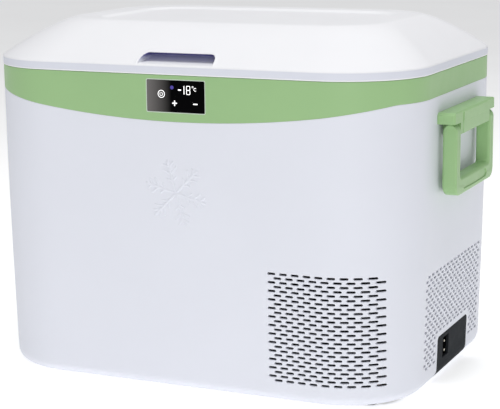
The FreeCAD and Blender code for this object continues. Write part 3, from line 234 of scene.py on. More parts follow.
def board_material(name, colour):
    """Circuit board under solder mask, with faint copper tracks."""
    material, tree, shader = new_material(name)
    place = node(tree, "ShaderNodeTexCoord")
    tracks = node(tree, "ShaderNodeTexBrick", Scale=140.0)
    tracks.inputs["Color1"].default_value = (*colour, 1)
    tracks.inputs["Color2"].default_value = (*shade(colour, 0.8), 1)
    tracks.inputs["Mortar"].default_value = (*shade(colour, 1.7), 1)
    tree.links.new(place.outputs["Object"], tracks.inputs["Vector"])
    tree.links.new(tracks.outputs["Color"], shader.inputs["Base Color"])
    add_bump(tree, shader, tracks.outputs["Fac"], 0.2, 0.0001)
    shader.inputs["Roughness"].default_value = 0.35
    return material


def lens_material(name):
    """Smoked glass with a painted highlight: lighter towards the left where the light catches it."""
    material, tree, shader = new_material(name)
    # painted highlight: the glass runs from a light grey at its left to near black
    across = node(tree, "ShaderNodeMapRange")
    across.inputs["From Min"].default_value = (display_x - 34) * MM
    across.inputs["From Max"].default_value = (display_x + 6) * MM
    tree.links.new(object_axis(tree, "X"), across.inputs["Value"])
    colour_out = blend_colour(tree, across.outputs["Result"], (0.18, 0.17, 0.165),
                              (0.0005, 0.0005, 0.0008), 0.0, 0.72)
    tree.links.new(colour_out, shader.inputs["Base Color"])
    fine = noise(tree, 2600.0, 2.0)
    tree.links.new(blend_range(tree, fine.outputs["Fac"], 0.32, 0.4), shader.inputs["Roughness"])
    shader.inputs["Specular IOR Level"].default_value = 0.03
    return material


def glow(name, colour, strength):
    """Lit mark behind the glass, a little brighter in its middle."""
    material, tree, shader = new_material(name)
    uneven = noise(tree, 400.0, 2.0)
    colour_out = blend_colour(tree, uneven.outputs["Fac"], shade(colour, 0.9), colour)
    tree.links.new(colour_out, shader.inputs["Emission Color"])
    shader.inputs["Base Color"].default_value = (0.02, 0.02, 0.02, 1)
    shader.inputs["Emission Strength"].default_value = strength
    shader.inputs["Roughness"].default_value = 0.5
    return material


white = moulded("white_moulding", (0.80, 0.815, 0.88), rough=0.45, grain=0.05, drift=0.008,
                specular=0.2)
lid_white = moulded("lid_moulding", (0.935, 0.935, 0.955), rough=0.45, grain=0.04, drift=0.008,
                    specular=0.25)
# painted shade: the lid's rim face is darkened by this grey, with its lowest edge and the crease left
# at full white
rim_painted_shade = (0.80, 0.82, 0.88)
lid_white = paint_shade_by_height(lid_white, lid_line, lid_line + 9.4,
                      ((0.06, (1, 1, 1)), (0.13, rim_painted_shade), (0.82, rim_painted_shade), (0.94, (1, 1, 1))))
# the finger recess carries painted shadow: white at its floor, darkening to a deep bluish tone towards
# its top
recess_painted_shadow = moulded("recess_moulding_painted_shade", (0.93, 0.935, 0.955), rough=0.5, grain=0.04, drift=0.008,
                       specular=0.1)
painted_shadow_heights = (353.2, 360.4)
recess_painted_shadow = paint_shade_by_height(recess_painted_shadow, *painted_shadow_heights,
                         ((0.0, (1, 1, 1)), (0.5, (0.72, 0.73, 0.85)), (1.0, (0.15, 0.14, 0.38))))
inner_white = moulded("liner_moulding", (0.82, 0.83, 0.86), rough=0.33, grain=0.03, drift=0.012)
green = moulded("green_moulding", (0.345, 0.55, 0.262), rough=0.36, grain=0.05, drift=0.02,
                specular=0.28)
black = moulded("black_moulding", (0.020, 0.023, 0.027), rough=0.6, grain=0.25, grain_size=0.0009,
                drift=0.1, specular=0.04)
black_gloss = moulded("black_socket", (0.003, 0.003, 0.0035), rough=0.4, grain=0.05, drift=0.1,
                      specular=0.1)
dark_rubber = moulded("dark_rubber", (0.03, 0.03, 0.032), rough=0.8, grain=0.5, grain_size=0.0012,
                      drift=0.15, specular=0.3)
grey_rubber = moulded("gasket_rubber", (0.30, 0.30, 0.31), rough=0.7, grain=0.3,
                      grain_size=0.0012, drift=0.08, specular=0.3)
lead_sleeve = moulded("lead_sleeve", (0.02, 0.02, 0.02), rough=0.55, grain=0.2, drift=0.1)
can_paint = moulded("can_paint", (0.012, 0.012, 0.013), rough=0.3, grain=0.5, grain_size=0.0025,
                    drift=0.1, coat=0.3)
zinc = metal("zinc_steel", (0.62, 0.63, 0.65), 0.36, 0.1)
bare_aluminium = metal("bare_aluminium", (0.78, 0.79, 0.80), 0.32, 0.15)
copper = metal("copper", (0.72, 0.36, 0.22), 0.3)
brass = metal("pin_brass", (0.86, 0.80, 0.66), 0.22)
iron = metal("machined_iron", (0.25, 0.25, 0.26), 0.45, 0.2)
foam = foam_material("foam", (0.80, 0.72, 0.50))
board = board_material("circuit_board", (0.02, 0.16, 0.07))
lens = lens_material("display_glass")
lit_white = glow("lit_white", (1.0, 1.0, 1.0), 1.7)
lit_blue = glow("lit_blue", (0.05, 0.028, 0.34), 1.0)


# ---- mesh helpers --------------------------------------------------------------------------------
class Builder:
    """Collects points, in millimetres above the casing's underside, and faces."""

    def __init__(self):
        self.points = []
        self.faces = []

    def point(self, x, y, z):
        self.points.append((x, y, z))
        return len(self.points) - 1

    def loop(self, points):
        return [self.point(*p) for p in points]

    def face(self, *indices):
        kept = []
        for index in indices:
            if not kept or index != kept[-1]:
                kept.append(index)
        if kept[0] == kept[-1]:
            kept.pop()
        if len(kept) > 2:
            self.faces.append(kept)

    def strip(self, first, second, closed=False):
        count = len(first)
        for k in range(count if closed else count - 1):
            after = (k + 1) % count
            self.face(first[k], first[after], second[after], second[k])

    def tube(self, loops, capped=True):
        """Closed loops joined one to the next, with flat ends."""
        rings = [self.loop(points) for points in loops]
        for first, second in zip(rings, rings[1:]):
            self.strip(first, second, closed=True)
        if capped:
            self.faces.append(list(reversed(rings[0])))
            self.faces.append(list(rings[-1]))
        return rings

    def piece(self, name, material, body, sharp=30.0, stands_for=(), weighted=True):
        mesh = bpy.data.meshes.new(name)
        scaled = [(x * MM, y * MM, (z + lift) * MM) for x, y, z in self.points]
        mesh.from_pydata(scaled, [], self.faces)
        tidy_mesh(mesh, sharp)
        made = add_object(name, mesh)
        mesh.materials.append(material)
        if weighted:
            add_weighted(made)
        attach(made, body)
        if stands_for:
            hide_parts(*stands_for)
        return made


def add_object(name, data):
    made = bpy.data.objects.new(name, data)
    bpy.context.scene.collection.objects.link(made)
    return made


def tidy_mesh(mesh, sharp):
    work = bmesh.new()
    work.from_mesh(mesh)
    bmesh.ops.remove_doubles(work, verts=work.verts, dist=1e-6)
    loose = [v for v in work.verts if not v.link_faces]
    bmesh.ops.delete(work, geom=loose, context="VERTS")
    bmesh.ops.recalc_face_normals(work, faces=work.faces)
    work.to_mesh(mesh)
    work.free()
    for polygon in mesh.polygons:
        polygon.use_smooth = True
    mesh.set_sharp_from_angle(angle=math.radians(sharp))


def add_weighted(made):
    weighted = made.modifiers.new("weighted", "WEIGHTED_NORMAL")
    weighted.keep_sharp = True
    weighted.weight = 80


def mirrored(made, name, body, stands_for):
    """The same piece on the other end."""
    mesh = made.data.copy()
    mesh.transform(Matrix.Diagonal((-1, 1, 1, 1)))
    mesh.flip_normals()
    twin = add_object(name, mesh)
    for modifier in made.modifiers:
        if modifier.type == "WEIGHTED_NORMAL":
            add_weighted(twin)
    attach(twin, body)
    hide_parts(*stands_for)


# ---- the walls' shape ----------------------------------------------------------------------------
def belly(z):
    """How far the wall leans in at a height."""
    drop = lid_line - z
    return belly_radius - math.sqrt(belly_radius ** 2 - drop ** 2)


def inset_at(z):
    """Distance inwards of the outer surface at a height, with the rounded lower edge."""
    if z >= fillet:
        return belly(z)
    turn = belly(fillet) + fillet
    return turn - math.sqrt(max(0.0, fillet ** 2 - (fillet - z) ** 2))


def plan(column, d):
    """Where a column of the wall stands, a distance inwards of the top rim."""
    kind, value, side = column
    core_x = half_x - corner
    core_y = half_y - corner
    r = corner - d
    if kind == "x":
        over = max(0.0, abs(value) - core_x)
        return value, side * (core_y + math.sqrt(max(0.0, r * r - over * over)))
    if kind == "y":
        over = max(0.0, abs(value) - core_y)
        return side * (core_x + math.sqrt(max(0.0, r * r - over * over))), value
    angle = math.radians(value)
    return side[0] * core_x + r * math.cos(angle), side[1] * core_y + r * math.sin(angle)


def span(first, last, step):
    """Even numbers from the first to the last, about a step apart."""
    count = max(1, round(abs(last - first) / step))
    return [first + (last - first) * k / count for k in range(count + 1)]


# angles in the corners at which the slots' columns end
front_vent_angle = -38.0
side_vent_angle = 8.0


def perimeter(front_marks=(), vents=True, step=13.0, turn=4.0):
    """Columns once round, counter-clockwise seen from above, from the front's left end. Where there
    are vents, each slot gets four columns and the one past it."""
    core_x = half_x - corner
    core_y = half_y - corner
    cell = slot_pitch / 4
    columns = []
    vent_left = front_first - slot_pitch / 2
    vent_marks = [vent_left + cell * k for k in range(front_columns * 4 + 3)]
    stops = sorted([-core_x, *front_marks, vent_left if vents else core_x])
    for first, last in zip(stops, stops[1:]):
        columns += [("x", x, -1) for x in span(first, last, step)[:-1]]
    if vents:
        columns += [("x", x, -1) for x in vent_marks]
        first_angle = front_vent_angle
    else:
        columns.append(("x", core_x, -1))
        first_angle = -90.0 + turn
    columns += [("a", a, (1, -1)) for a in span(first_angle, -turn, turn)]
    side_left = side_first - slot_pitch / 2
    side_cells = [side_left + cell * k for k in range(side_columns * 4 + 3)]
    if vents:
        columns += [("y", y, 1) for y in side_cells]
        after_side = side_vent_angle
    else:
        columns += [("y", y, 1) for y in span(-core_y, core_y, step)[:-1]]
        columns.append(("y", core_y, 1))
        after_side = turn
    columns += [("a", a, (1, 1)) for a in span(after_side, 90.0 - turn, turn)]
    columns += [("x", x, 1) for x in span(core_x, -core_x, step)]
    columns += [("a", a, (-1, 1)) for a in span(90.0 + turn, 180.0 - turn, turn)]
    columns += [("y", y, -1) for y in span(core_y, -core_y, step)]
    columns += [("a", a, (-1, -1)) for a in span(180.0 + turn, 270.0 - turn, turn)]
    return columns


def seam_height(column):
    """Height of the green band's lower edge, a long dip across the front and the back."""
    x = plan(column, 0.0)[0]
    rise = band_side - band_front
    arc_end = math.sqrt(2 * band_arc * rise - rise ** 2)
    if abs(x) >= arc_end:
        return band_side
    return band_front + band_arc - math.sqrt(band_arc ** 2 - x * x)


# ---- white casing with its slots cut through -----------------------------------------------------
def slot_cells():
    """Which grid cells a slot takes: (row, first column) for the front and for the side."""
    front = []
    for row in range(front_rows):
        for number in range(front_columns):
            front.append((row, number * 4 + (2 if row % 2 == 0 else 0)))
    side = []
    for row in range(side_rows):
        z = lowest_row + row_pitch * row
        for number in range(side_columns):
            first = number * 4 + (2 if row % 2 == 0 else 0)
            y = side_first + slot_pitch * (number + (0.5 if row % 2 == 0 else 0))
            if not (panel_y[0] - 8 < y < panel_y[1] + 8 and z < panel_z[1] + 4):
                side.append((row, first))
    return front, side


def pill(centre, level, grow):
    """Outline of one slot, from the lower left end round past the lower right one."""
    reach = (slot_long - slot_tall) / 2
    r = slot_tall / 2 + grow
    points = []
    for k in range(9):
        a = math.radians(-90 + 180 * k / 8)
        points.append((centre + reach + r * math.cos(a), level + r * math.sin(a)))
    points.append((centre, level + r))
    for k in range(9):
        a = math.radians(90 + 180 * k / 8)
        points.append((centre - reach + r * math.cos(a), level + r * math.sin(a)))
    points.append((centre, level - r))
    return points


def add_slot(build, cell_edges, kind, side, centre, level):
    """Cuts one slot through the wall, inside grid cells given by their lower and upper edges, first
    on the outer skin and then on the inner one."""
    def ring(grow, depth):
        made = []
        for u, z in pill(centre, level, grow):
            x, y = plan((kind, u, side), inset_at(z) + depth)
            made.append(build.point(x, y, z))
        return made
    outer_ring = ring(0.34, 0.0)
    rings = [outer_ring, ring(0.10, 0.10), ring(0.0, 0.34), ring(0.0, wall)]
    for first, second in zip(rings, rings[1:]):
        build.strip(first, second, closed=True)
    for edges, hole in ((cell_edges[0], outer_ring), (cell_edges[1], rings[-1])):
        b, t = edges
        right, top_mid, left, bottom_mid = hole[0:9], hole[9], hole[10:19], hole[19]
        build.face(b[1], b[2], bottom_mid, left[8])
        build.face(b[2], b[3], right[0], bottom_mid)
        build.face(b[3], b[4], right[2], right[1], right[0])
        build.face(b[4], right[4], right[3], right[2])
        build.face(b[4], t[4], right[4])
        build.face(t[4], right[6], right[5], right[4])
        build.face(t[4], t[3], right[8], right[7], right[6])
        build.face(t[3], t[2], top_mid, right[8])
        build.face(t[2], t[1], left[0], top_mid)
        build.face(t[1], t[0], left[2], left[1], left[0])
        build.face(t[0], left[4], left[3], left[2])
        build.face(t[0], b[0], left[4])
        build.face(b[0], left[6], left[5], left[4])
        build.face(b[0], b[1], left[8], left[7], left[6])


def casing():
    """White skin with an outer and an inner face, its slots, and a hole for the inlet panel."""
    columns = perimeter()
    count = len(columns)
    vent_start = next(k for k, c in enumerate(columns)
                      if c[0] == "x" and abs(c[1] - (front_first - slot_pitch / 2)) < 1e-6)
    side_start = next(k for k, c in enumerate(columns) if c[0] == "y" and c[2] == 1)
    turn = belly(fillet)
    centre = turn + fillet
    underside = (44.0, 34.0, centre + 3)
    outer_rows = [(d, 0.0) for d in underside]
    inner_rows = [(d, wall) for d in underside]
    fillet_steps = 8
    for k in range(fillet_steps + 1):
        a = math.radians(90 * k / fillet_steps)
        outer_rows.append((centre - fillet * math.sin(a), fillet - fillet * math.cos(a)))
        small = fillet - wall
        inner_rows.append((centre - small * math.sin(a), fillet - small * math.cos(a)))
    first_line = lowest_row - row_pitch / 2
    for z in (17.0, *[first_line + row_pitch * k for k in range(front_rows + 1)]):
        outer_rows.append((belly(z), z))
        inner_rows.append((belly(z) + wall, z))
    vent_row = len(underside) + fillet_steps + 2
    last_z = outer_rows[-1][1]
    upper = 16
    build = Builder()

    def grid(rows, depth, top_depth):
        lines = []
        for d, z in rows:
            lines.append(build.loop([(*plan(c, d), z) for c in columns]))
        for k in range(1, upper + 1):
            line = []
            for c in columns:
                top = seam_height(c) - 0.35
                z = last_z + (top - last_z) * k / upper
                line.append((*plan(c, belly(z) + depth), z))
            lines.append(build.loop(line))
        lines.append(build.loop([(*plan(c, belly(seam_height(c)) + top_depth), seam_height(c))
                                 for c in columns]))
        return lines
    outer = grid(outer_rows, 0.0, 0.3)
    inner = grid(inner_rows, wall, wall)
    taken = set()
    front, side = slot_cells()
    for cells, start, kind, facing, first in ((front, vent_start, "x", -1, front_first),
                                              (side, side_start, "y", 1, side_first)):
        for row, number in cells:
            line = vent_row + row
            edges = []
            for lines in (outer, inner):
                low = [lines[line][start + number + k] for k in range(5)]
                high = [lines[line + 1][start + number + k] for k in range(5)]
                edges.append((low, high))
            for k in range(4):
                taken.add((line, start + number + k))
            middle = first - slot_pitch / 2 + slot_pitch / 4 * (number + 2)
            add_slot(build, edges, kind, facing, middle, lowest_row + row_pitch * row)
    # rows and columns of the skin that lie behind the inlet panel, with a margin for its edge
    hole_low = 8
    hole_high = vent_row + 5
    panel_margin = 1
    hole = set()
    for line in range(hole_low, hole_high):
        for k in range(count):
            c = columns[k]
            after = columns[(k + 1) % count]
            if c[0] == "y" and c[2] == 1 and after[0] == "y":
                if c[1] >= panel_y[0] + panel_margin and after[1] <= panel_y[1] - panel_margin:
                    hole.add((line, k))
    for line in range(len(outer) - 1):
        for k in range(count):
            after = (k + 1) % count
            if (line, k) in taken or (line, k) in hole:
                continue
            for lines in (outer, inner):
                build.face(lines[line][k], lines[line][after], lines[line + 1][after],
                           lines[line + 1][k])
    for line, k in hole:
        after = (k + 1) % count
        for other, a, b in (((line - 1, k), (line, k), (line, after)),
                            ((line + 1, k), (line + 1, k), (line + 1, after)),
                            ((line, k - 1), (line, k), (line + 1, k)),
                            ((line, after), (line, after), (line + 1, after))):
            if other not in hole:
                build.face(outer[a[0]][a[1]], outer[b[0]][b[1]], inner[b[0]][b[1]],
                           inner[a[0]][a[1]])
    build.strip(outer[0], inner[0], closed=True)
    build.strip(outer[-1], inner[-1], closed=True)
    build.piece("white_casing", white, "cabinet", sharp=50.0,
                stands_for=("outer_shell", "front_vent_grille", "side_vent_grille"))


# ---- green band ----------------------------------------------------------------------------------
def green_band():
    """Band with a flat top ledge inside the rim, and a window for the display."""
    band_thick = 4.9
    window_lap = 0.8            # how far the display's rim laps over the window's edge
    opening_x = (display_x - display_wide / 2 + window_lap, display_x + display_wide / 2 - window_lap)
    opening_z = (display_z - display_tall / 2 + window_lap, display_z + display_tall / 2 - window_lap)
    columns = perimeter(front_marks=opening_x, vents=False)
    count = len(columns)

    def lower(c):
        return max(opening_z[0], seam_height(c) + 3.0)
    rows = [lambda c: (belly(seam_height(c)) + 0.3, seam_height(c)),
            lambda c: (belly(seam_height(c)) + 0.08, seam_height(c) + 0.12),
            lambda c: (belly(seam_height(c)), seam_height(c) + 0.4)]
    for k in (1, 2, 3):
        rows.append(lambda c, k=k: (lambda z: (belly(z), z))(
            seam_height(c) + 0.4 + (lower(c) - seam_height(c) - 0.4) * k / 3))
    first_open = len(rows) - 1
    for k in (1, 2, 3):
        rows.append(lambda c, k=k: (lambda z: (belly(z), z))(
            lower(c) + (opening_z[1] - lower(c)) * k / 3))
    last_open = len(rows) - 1
    rows += [lambda c, row=row: (row[0], band_top - row[1]) for row in (
        (0.0, 0.7), (0.2, 0.2), (0.7, 0.0), (4.0, 0.0), (11.4, 0.0), (11.9, 0.4), (12.0, 2.7),
        (band_thick, 2.8))]
    build = Builder()
    lines = []
    for row in rows:
        line = []
        for c in columns:
            d, z = row(c)
            line.append((*plan(c, d), z))
        lines.append(build.loop(line))
    hidden = []
    for z in (334.0, 326.0, 318.5):
        hidden.append(build.loop([(*plan(c, band_thick), max(z, seam_height(c) + 0.5))
                                  for c in columns]))
    hidden.append(build.loop([(*plan(c, wall + 0.4), seam_height(c)) for c in columns]))
    lines += hidden
    for line in range(len(lines) - 1):
        for k in range(count):
            after = (k + 1) % count
            x0 = plan(columns[k], 0)[0]
            x1 = plan(columns[after], 0)[0]
            front_column = columns[k][0] == "x" and columns[k][2] == -1
            if (first_open <= line < last_open and front_column
                    and x0 > opening_x[0] - 0.01 and x1 < opening_x[1] + 0.01):
                continue
            build.face(lines[line][k], lines[line][after], lines[line + 1][after],
                       lines[line + 1][k])
    build.strip(lines[-1], lines[0], closed=True)
    marks = [k for k in range(count) if columns[k][0] == "x" and columns[k][2] == -1
             and opening_x[0] - 0.01 < columns[k][1] < opening_x[1] + 0.01]
    border = [lines[first_open][k] for k in marks]
    border += [lines[r][marks[-1]] for r in range(first_open + 1, last_open)]
    border += [lines[last_open][k] for k in reversed(marks)]
    border += [lines[r][marks[0]] for r in range(last_open - 1, first_open, -1)]
    inward = build.loop([(build.points[i][0], build.points[i][1] + 3.0, build.points[i][2])
                         for i in border])
    build.strip(border, inward, closed=True)
    build.piece("green_band", green, "cabinet", sharp=40.0,
                stands_for=("trim_band",))


# ---- lid -----------------------------------------------------------------------------------------
lid_x = half_x + 0.4
lid_y = half_y + 0.4
lid_skirt = 9.4
dome_rise = 39.2
dome_run_x = 64.5
dome_run_y = 76.9
dome_power = 1.36
dome_corner = 27.0
lid_top = lid_line + lid_skirt + dome_rise
scoop_half = 43.6
scoop_top = 363.2
scoop_back = -158.0
tray_centre = (4.0, -7.0)
tray_half = (156.0, 93.0)


def dome_height(share):
    return lid_line + lid_skirt + dome_rise * (1 - (1 - share) ** dome_power)


def dome_share(height):
    rest = 1 - (height - lid_line - lid_skirt) / dome_rise
    return 1 - rest ** (1 / dome_power)


def ring_point(column, hx, hy, r, cx=0.0, cy=0.0):
    """A point of a rounded rectangle. A column is a straight side with a fraction, or a corner."""
    kind, value, side = column
    if kind == "x":
        return cx + value * (hx - r), cy + side * hy
    if kind == "y":
        return cx + side * hx, cy + value * (hy - r)
    angle = math.radians(value)
    return (cx + side[0] * (hx - r) + r * math.cos(angle),
            cy + side[1] * (hy - r) + r * math.sin(angle))


def lid_columns(marks, turn=3.75):
    """Columns with straight sides by fraction. Marks are real x places on the front, as fractions."""
    columns = [("x", v, -1) for v in marks]
    columns += [("a", a, (1, -1)) for a in span(-90.0 + turn, -turn, turn)]
    columns += [("y", v, 1) for v in span(-1, 1, 0.16)]
    columns += [("a", a, (1, 1)) for a in span(turn, 90.0 - turn, turn)]
    columns += [("x", v, 1) for v in span(1, -1, 0.1)]
    columns += [("a", a, (-1, 1)) for a in span(90.0 + turn, 180.0 - turn, turn)]
    columns += [("y", v, -1) for v in span(1, -1, 0.16)]
    columns += [("a", a, (-1, -1)) for a in span(180.0 + turn, 270.0 - turn, turn)]
    return columns


def dome_front(x, share):
    """A point of the dome's front face."""
    return x, -(lid_y - dome_run_y * share), dome_height(share)


def lid():
    """Domed lid with its tray, and the finger recess as a piece of its own."""
    start_share = 0.018
    block_share = 0.30
    block_x = 60.0
    lip = 3.4
    mouth_corner = 7.6
    bead = ((2.9, 0.25), (2.0, 0.7), (1.1, 0.75), (0.4, 0.4))
    steps = 3
    half_straight = lid_x - corner
    # x places along the front: plain, block edge, strips, lip, floor of the recess, and back out
    left_marks = [-block_x + (block_x - scoop_half - lip) * k / steps for k in range(steps)]
    left_marks.append(-scoop_half - lip)
    left_marks += [-scoop_half - grow for grow, proud in bead]
    left_marks.append(-scoop_half)
    floor_marks = span(-scoop_half, scoop_half, 7.4)[1:-1]
    inner_marks = left_marks + floor_marks + [-x for x in reversed(left_marks)]
    outside = span(-half_straight, -block_x, 12.0)[:-1]
    marks = outside + inner_marks + [-x for x in reversed(outside)]
    columns = lid_columns([x / half_straight for x in marks])
    count = len(columns)
    first = len(outside)
    last = first + len(inner_marks) - 1
    build = Builder()

    def dome_ring(share):
        hx = lid_x - dome_run_x * share
        hy = lid_y - dome_run_y * share
        r = corner - dome_corner * share
        made = []
        for c in columns:
            if c[0] == "x" and c[2] == -1:
                straight = hx - r
                x = c[1] * half_straight
                if abs(x) > block_x:
                    x = math.copysign(block_x + (abs(x) - block_x)
                                      * (straight - block_x) / (half_straight - block_x), x)
                made.append((x, -hy, dome_height(share)))
            else:
                made.append((*ring_point(c, hx, hy, r), dome_height(share)))
        return made

    def shrink(d, z):
        return [(*ring_point(c, lid_x - d, lid_y - d, corner - d), z) for c in columns]
    rim = lid_line + lid_skirt
    low = lid_line - 0.3
    rows = [shrink(2.6, lid_line + 3.0), shrink(2.6, low + 0.3), shrink(2.3, low),
            shrink(0.9, low), shrink(0.25, low + 0.22), shrink(0.0, low + 0.9),
            shrink(0.0, lid_line + 3.5), shrink(0.0, lid_line + 6.5), shrink(0.0, rim - 0.9),
            shrink(0.18, rim - 0.15)]
    rows.append(shrink(0.75, rim + 0.52))
    start = len(rows)
    shares = [start_share, 0.05, 0.09, 0.13, 0.175, 0.22, 0.26, block_share, 0.36, 0.43, 0.5, 0.58,
              0.66, 0.74, 0.81, 0.87, 0.92, 0.96]
    rows += [dome_ring(s) for s in shares]
    block_row = start + shares.index(block_share)
    # the shoulder between the dome and the flat top, then the edge of the tray
    rows.append(dome_ring(0.99))
    rows.append(dome_ring(1.0))
    tray_x, tray_y = tray_half
    cx, cy = tray_centre

    def tray_ring(grow, drop, r):
        return [(*ring_point(c, tray_x + grow, tray_y + grow, r, cx, cy), lid_top - drop)
                for c in columns]
    rows += [tray_ring(*ring) for ring in (
        (9.0, 0.0, 52.0), (3.2, 0.0, 46.0), (1.9, 0.12, 44.5), (0.6, 0.62, 43.0),
        (-2.4, 1.9, 40.0), (-3.6, 2.35, 39.0), (-5.2, 2.5, 38.0), (-30.0, 2.5, 30.0))]
    lines = [build.loop(row) for row in rows]
    for line in range(len(lines) - 1):
        for k in range(count):
            after = (k + 1) % count
            if start <= line < block_row and first <= k < last:
                continue
            build.face(lines[line][k], lines[line][after], lines[line + 1][after],
                       lines[line + 1][k])
    build.faces.append(list(lines[-1]))
    # the recess: its mouth on the dome, strips out to the block's edge, a rounded lip, and a pocket
    left_side = [lines[r][first] for r in range(start, block_row + 1)]
    top_side = [lines[block_row][k] for k in range(first + 1, last)]
    right_side = [lines[r][last] for r in range(block_row, start - 1, -1)]
    border = left_side + top_side + right_side
    n_side = len(left_side)
    total = len(border)

    def mouth(grow):
        """The mouth's outline in x and height, wider by a margin, with a point for each border one."""
        top = scoop_top + grow
        r = mouth_corner + grow
        half = scoop_half + grow
        base = dome_height(start_share)
        straight_up = top - r - base
        quarter = r * math.pi / 2
        points = []
        for k in range(n_side):
            run = (straight_up + quarter) * k / (n_side - 1)
            if run < straight_up:
                points.append((-half, base + run))
            else:
                a = (run - straight_up) / r
                points.append((-half + r - r * math.cos(a), top - r + r * math.sin(a)))
        inner_half = half - r
        n_top = len(top_side)
        for k in range(1, n_top + 1):
            points.append((-inner_half + 2 * inner_half * k / (n_top + 1), top))
        points += [(-x, z) for x, z in reversed(points[:n_side])]
        return points
    edge = mouth(lip)
    loops = [border]
    for step in range(1, steps + 1):
        t = step / steps
        line = []
        for number, index in enumerate(border):
            bx, _, bz = build.points[index]
            ex, ez = edge[number]
            x = bx + (ex - bx) * t
            share = dome_share(bz) + (dome_share(ez) - dome_share(bz)) * t
            if number in (0, total - 1):
                share = start_share
            line.append(dome_front(x, share))
        ids = build.loop(line)
        ids[0] = lines[start][first + step]
        ids[-1] = lines[start][last - step]
        loops.append(ids)
    for number, (grow, proud) in enumerate(bead, 1):
        line = []
        for x, z in mouth(grow):
            share = dome_share(max(z, dome_height(start_share)))
            place = dome_front(x, share)
            lean = math.atan2(dome_rise, dome_run_y)
            line.append((x, place[1] - proud * math.sin(lean), place[2] + proud * math.cos(lean)))
        ids = build.loop(line)
        ids[0] = lines[start][first + steps + number]
        ids[-1] = lines[start][last - steps - number]
        loops.append(ids)
    inner_marks_in = steps + len(bead) + 1
    line = []
    for x, z in mouth(0.0):
        y = dome_front(x, dome_share(max(z, dome_height(start_share))))[1]
        line.append((x, y + 0.8, z))
    ids = build.loop(line)
    ids[0] = lines[start][first + inner_marks_in]
    ids[-1] = lines[start][last - inner_marks_in]
    loops.append(ids)
    for a, b in zip(loops, loops[1:]):
        build.strip(a, b)
    # pocket: closed rings from the mouth back to a rounded end
    floor_first = first + inner_marks_in
    floor_last = last - inner_marks_in
    floor_ids = [lines[start][k] for k in range(floor_last - 1, floor_first, -1)]
    ring0 = loops[-1] + floor_ids
    ring_points = [build.points[i] for i in ring0]
    base = dome_height(start_share)
    pocket = Builder()
    rings = [pocket.loop(ring_points)]
    for t, squeeze, rise in ((0.15, 0.0, 0.0), (0.35, 0.0, 0.25), (0.55, 0.2, 1.0),
                             (0.75, 0.6, 2.5), (0.88, 1.3, 4.2), (0.96, 2.4, 5.6),
                             (1.0, 3.9, 6.6)):
        ring_line = []
        for x, y, z in ring_points:
            deep_y = y + (scoop_back - y) * t
            height_share = (z - base) / (scoop_top - base)
            shrink_x = 1 - squeeze / scoop_half
            low = base + rise
            high = scoop_top - squeeze * 0.55
            new_z = low + (high - low) * height_share
            ring_line.append((x * shrink_x, deep_y, new_z))
        rings.append(pocket.loop(ring_line))
    for a, b in zip(rings, rings[1:]):
        pocket.strip(a, b, closed=True)
    pocket.faces.append(list(rings[-1]))
    # the pocket is a piece of its own so that its material can carry the painted shadow
    pocket.piece("lid_recess", recess_painted_shadow, "lid", sharp=60.0)
    # the cover ends in a flat floor that the panel below it hides
    build.faces.append(list(reversed(lines[0])))
    build.piece("lid_shell", lid_white, "lid", sharp=50.0,
                stands_for=("lid_cover",))


# ---- connector panel and socket ------------------------------------------------------------------
def side_x(y, z, proud=0.0):
    return plan(("y", y, 1), inset_at(z) - proud)[0]


def connector_panel():
    """Black panel in the end wall, curved like it, with a square hole for the inlet."""
    y0, y1 = panel_y
    hole_y = (socket_y - socket_wide / 2, socket_y + socket_wide / 2)
    hole_z = (socket_z - socket_tall / 2, socket_z + socket_tall / 2)
    round_off = 5.0
    ys = [y0, y0 + 0.4, y0 + 1.2, y0 + 2.5, y0 + 5.0, -38.0, hole_y[0], -24.0, -17.0, hole_y[1],
          -4.0, 6.0, 18.0, 30.0, 42.0, y1 - 5.0, y1 - 2.5, y1 - 1.2, y1 - 0.4, y1]
    zs = [panel_z[0], 4.5, 6.5, 9.0, 12.0, 16.0, hole_z[0], 28.0, 36.0, hole_z[1], 46.0, 1e9]
    build = Builder()

    def top_at(y):
        over = max(0.0, y0 + round_off - y, y - y1 + round_off)
        return panel_z[1] - round_off + math.sqrt(max(0.0, round_off ** 2 - over ** 2))

    def sheet_lines(proud, margin):
        lines = []
        for z in zs:
            line = []
            for y in ys:
                height = min(z, top_at(y))
                yy = max(y0 + margin, min(y1 - margin, y))
                zz = max(panel_z[0] + margin, min(height, panel_z[1] - margin))
                line.append((side_x(yy, zz, proud), yy, zz))
            lines.append(build.loop(line))
        return lines
    front = sheet_lines(0.25, 0.3)
    rim = sheet_lines(0.1, 0.0)
    back = sheet_lines(-2.4, 0.0)
    hole_rows = (zs.index(hole_z[0]), zs.index(hole_z[1]))
    hole_cols = (ys.index(hole_y[0]), ys.index(hole_y[1]))
    for lines in (front, back):
        for r in range(len(zs) - 1):
            for k in range(len(ys) - 1):
                if hole_rows[0] <= r < hole_rows[1] and hole_cols[0] <= k < hole_cols[1]:
                    continue
                build.face(lines[r][k], lines[r][k + 1], lines[r + 1][k + 1], lines[r + 1][k])

    def edge_of(lines, r0, r1, k0, k1):
        path = [lines[r0][k] for k in range(k0, k1 + 1)]
        path += [lines[r][k1] for r in range(r0 + 1, r1)]
        path += [lines[r1][k] for k in range(k1, k0 - 1, -1)]
        path += [lines[r][k0] for r in range(r1 - 1, r0, -1)]
        return path
    last_r = len(zs) - 1
    last_k = len(ys) - 1
    outer = [edge_of(lines, 0, last_r, 0, last_k) for lines in (front, rim, back)]
    build.strip(outer[0], outer[1], closed=True)
    build.strip(outer[1], outer[2], closed=True)
    inner = [edge_of(lines, *hole_rows, *hole_cols) for lines in (front, back)]
    build.strip(inner[0], inner[1], closed=True)
    build.piece("connector_plate", black, "cabinet", sharp=30.0,
                stands_for=("connector_panel",))


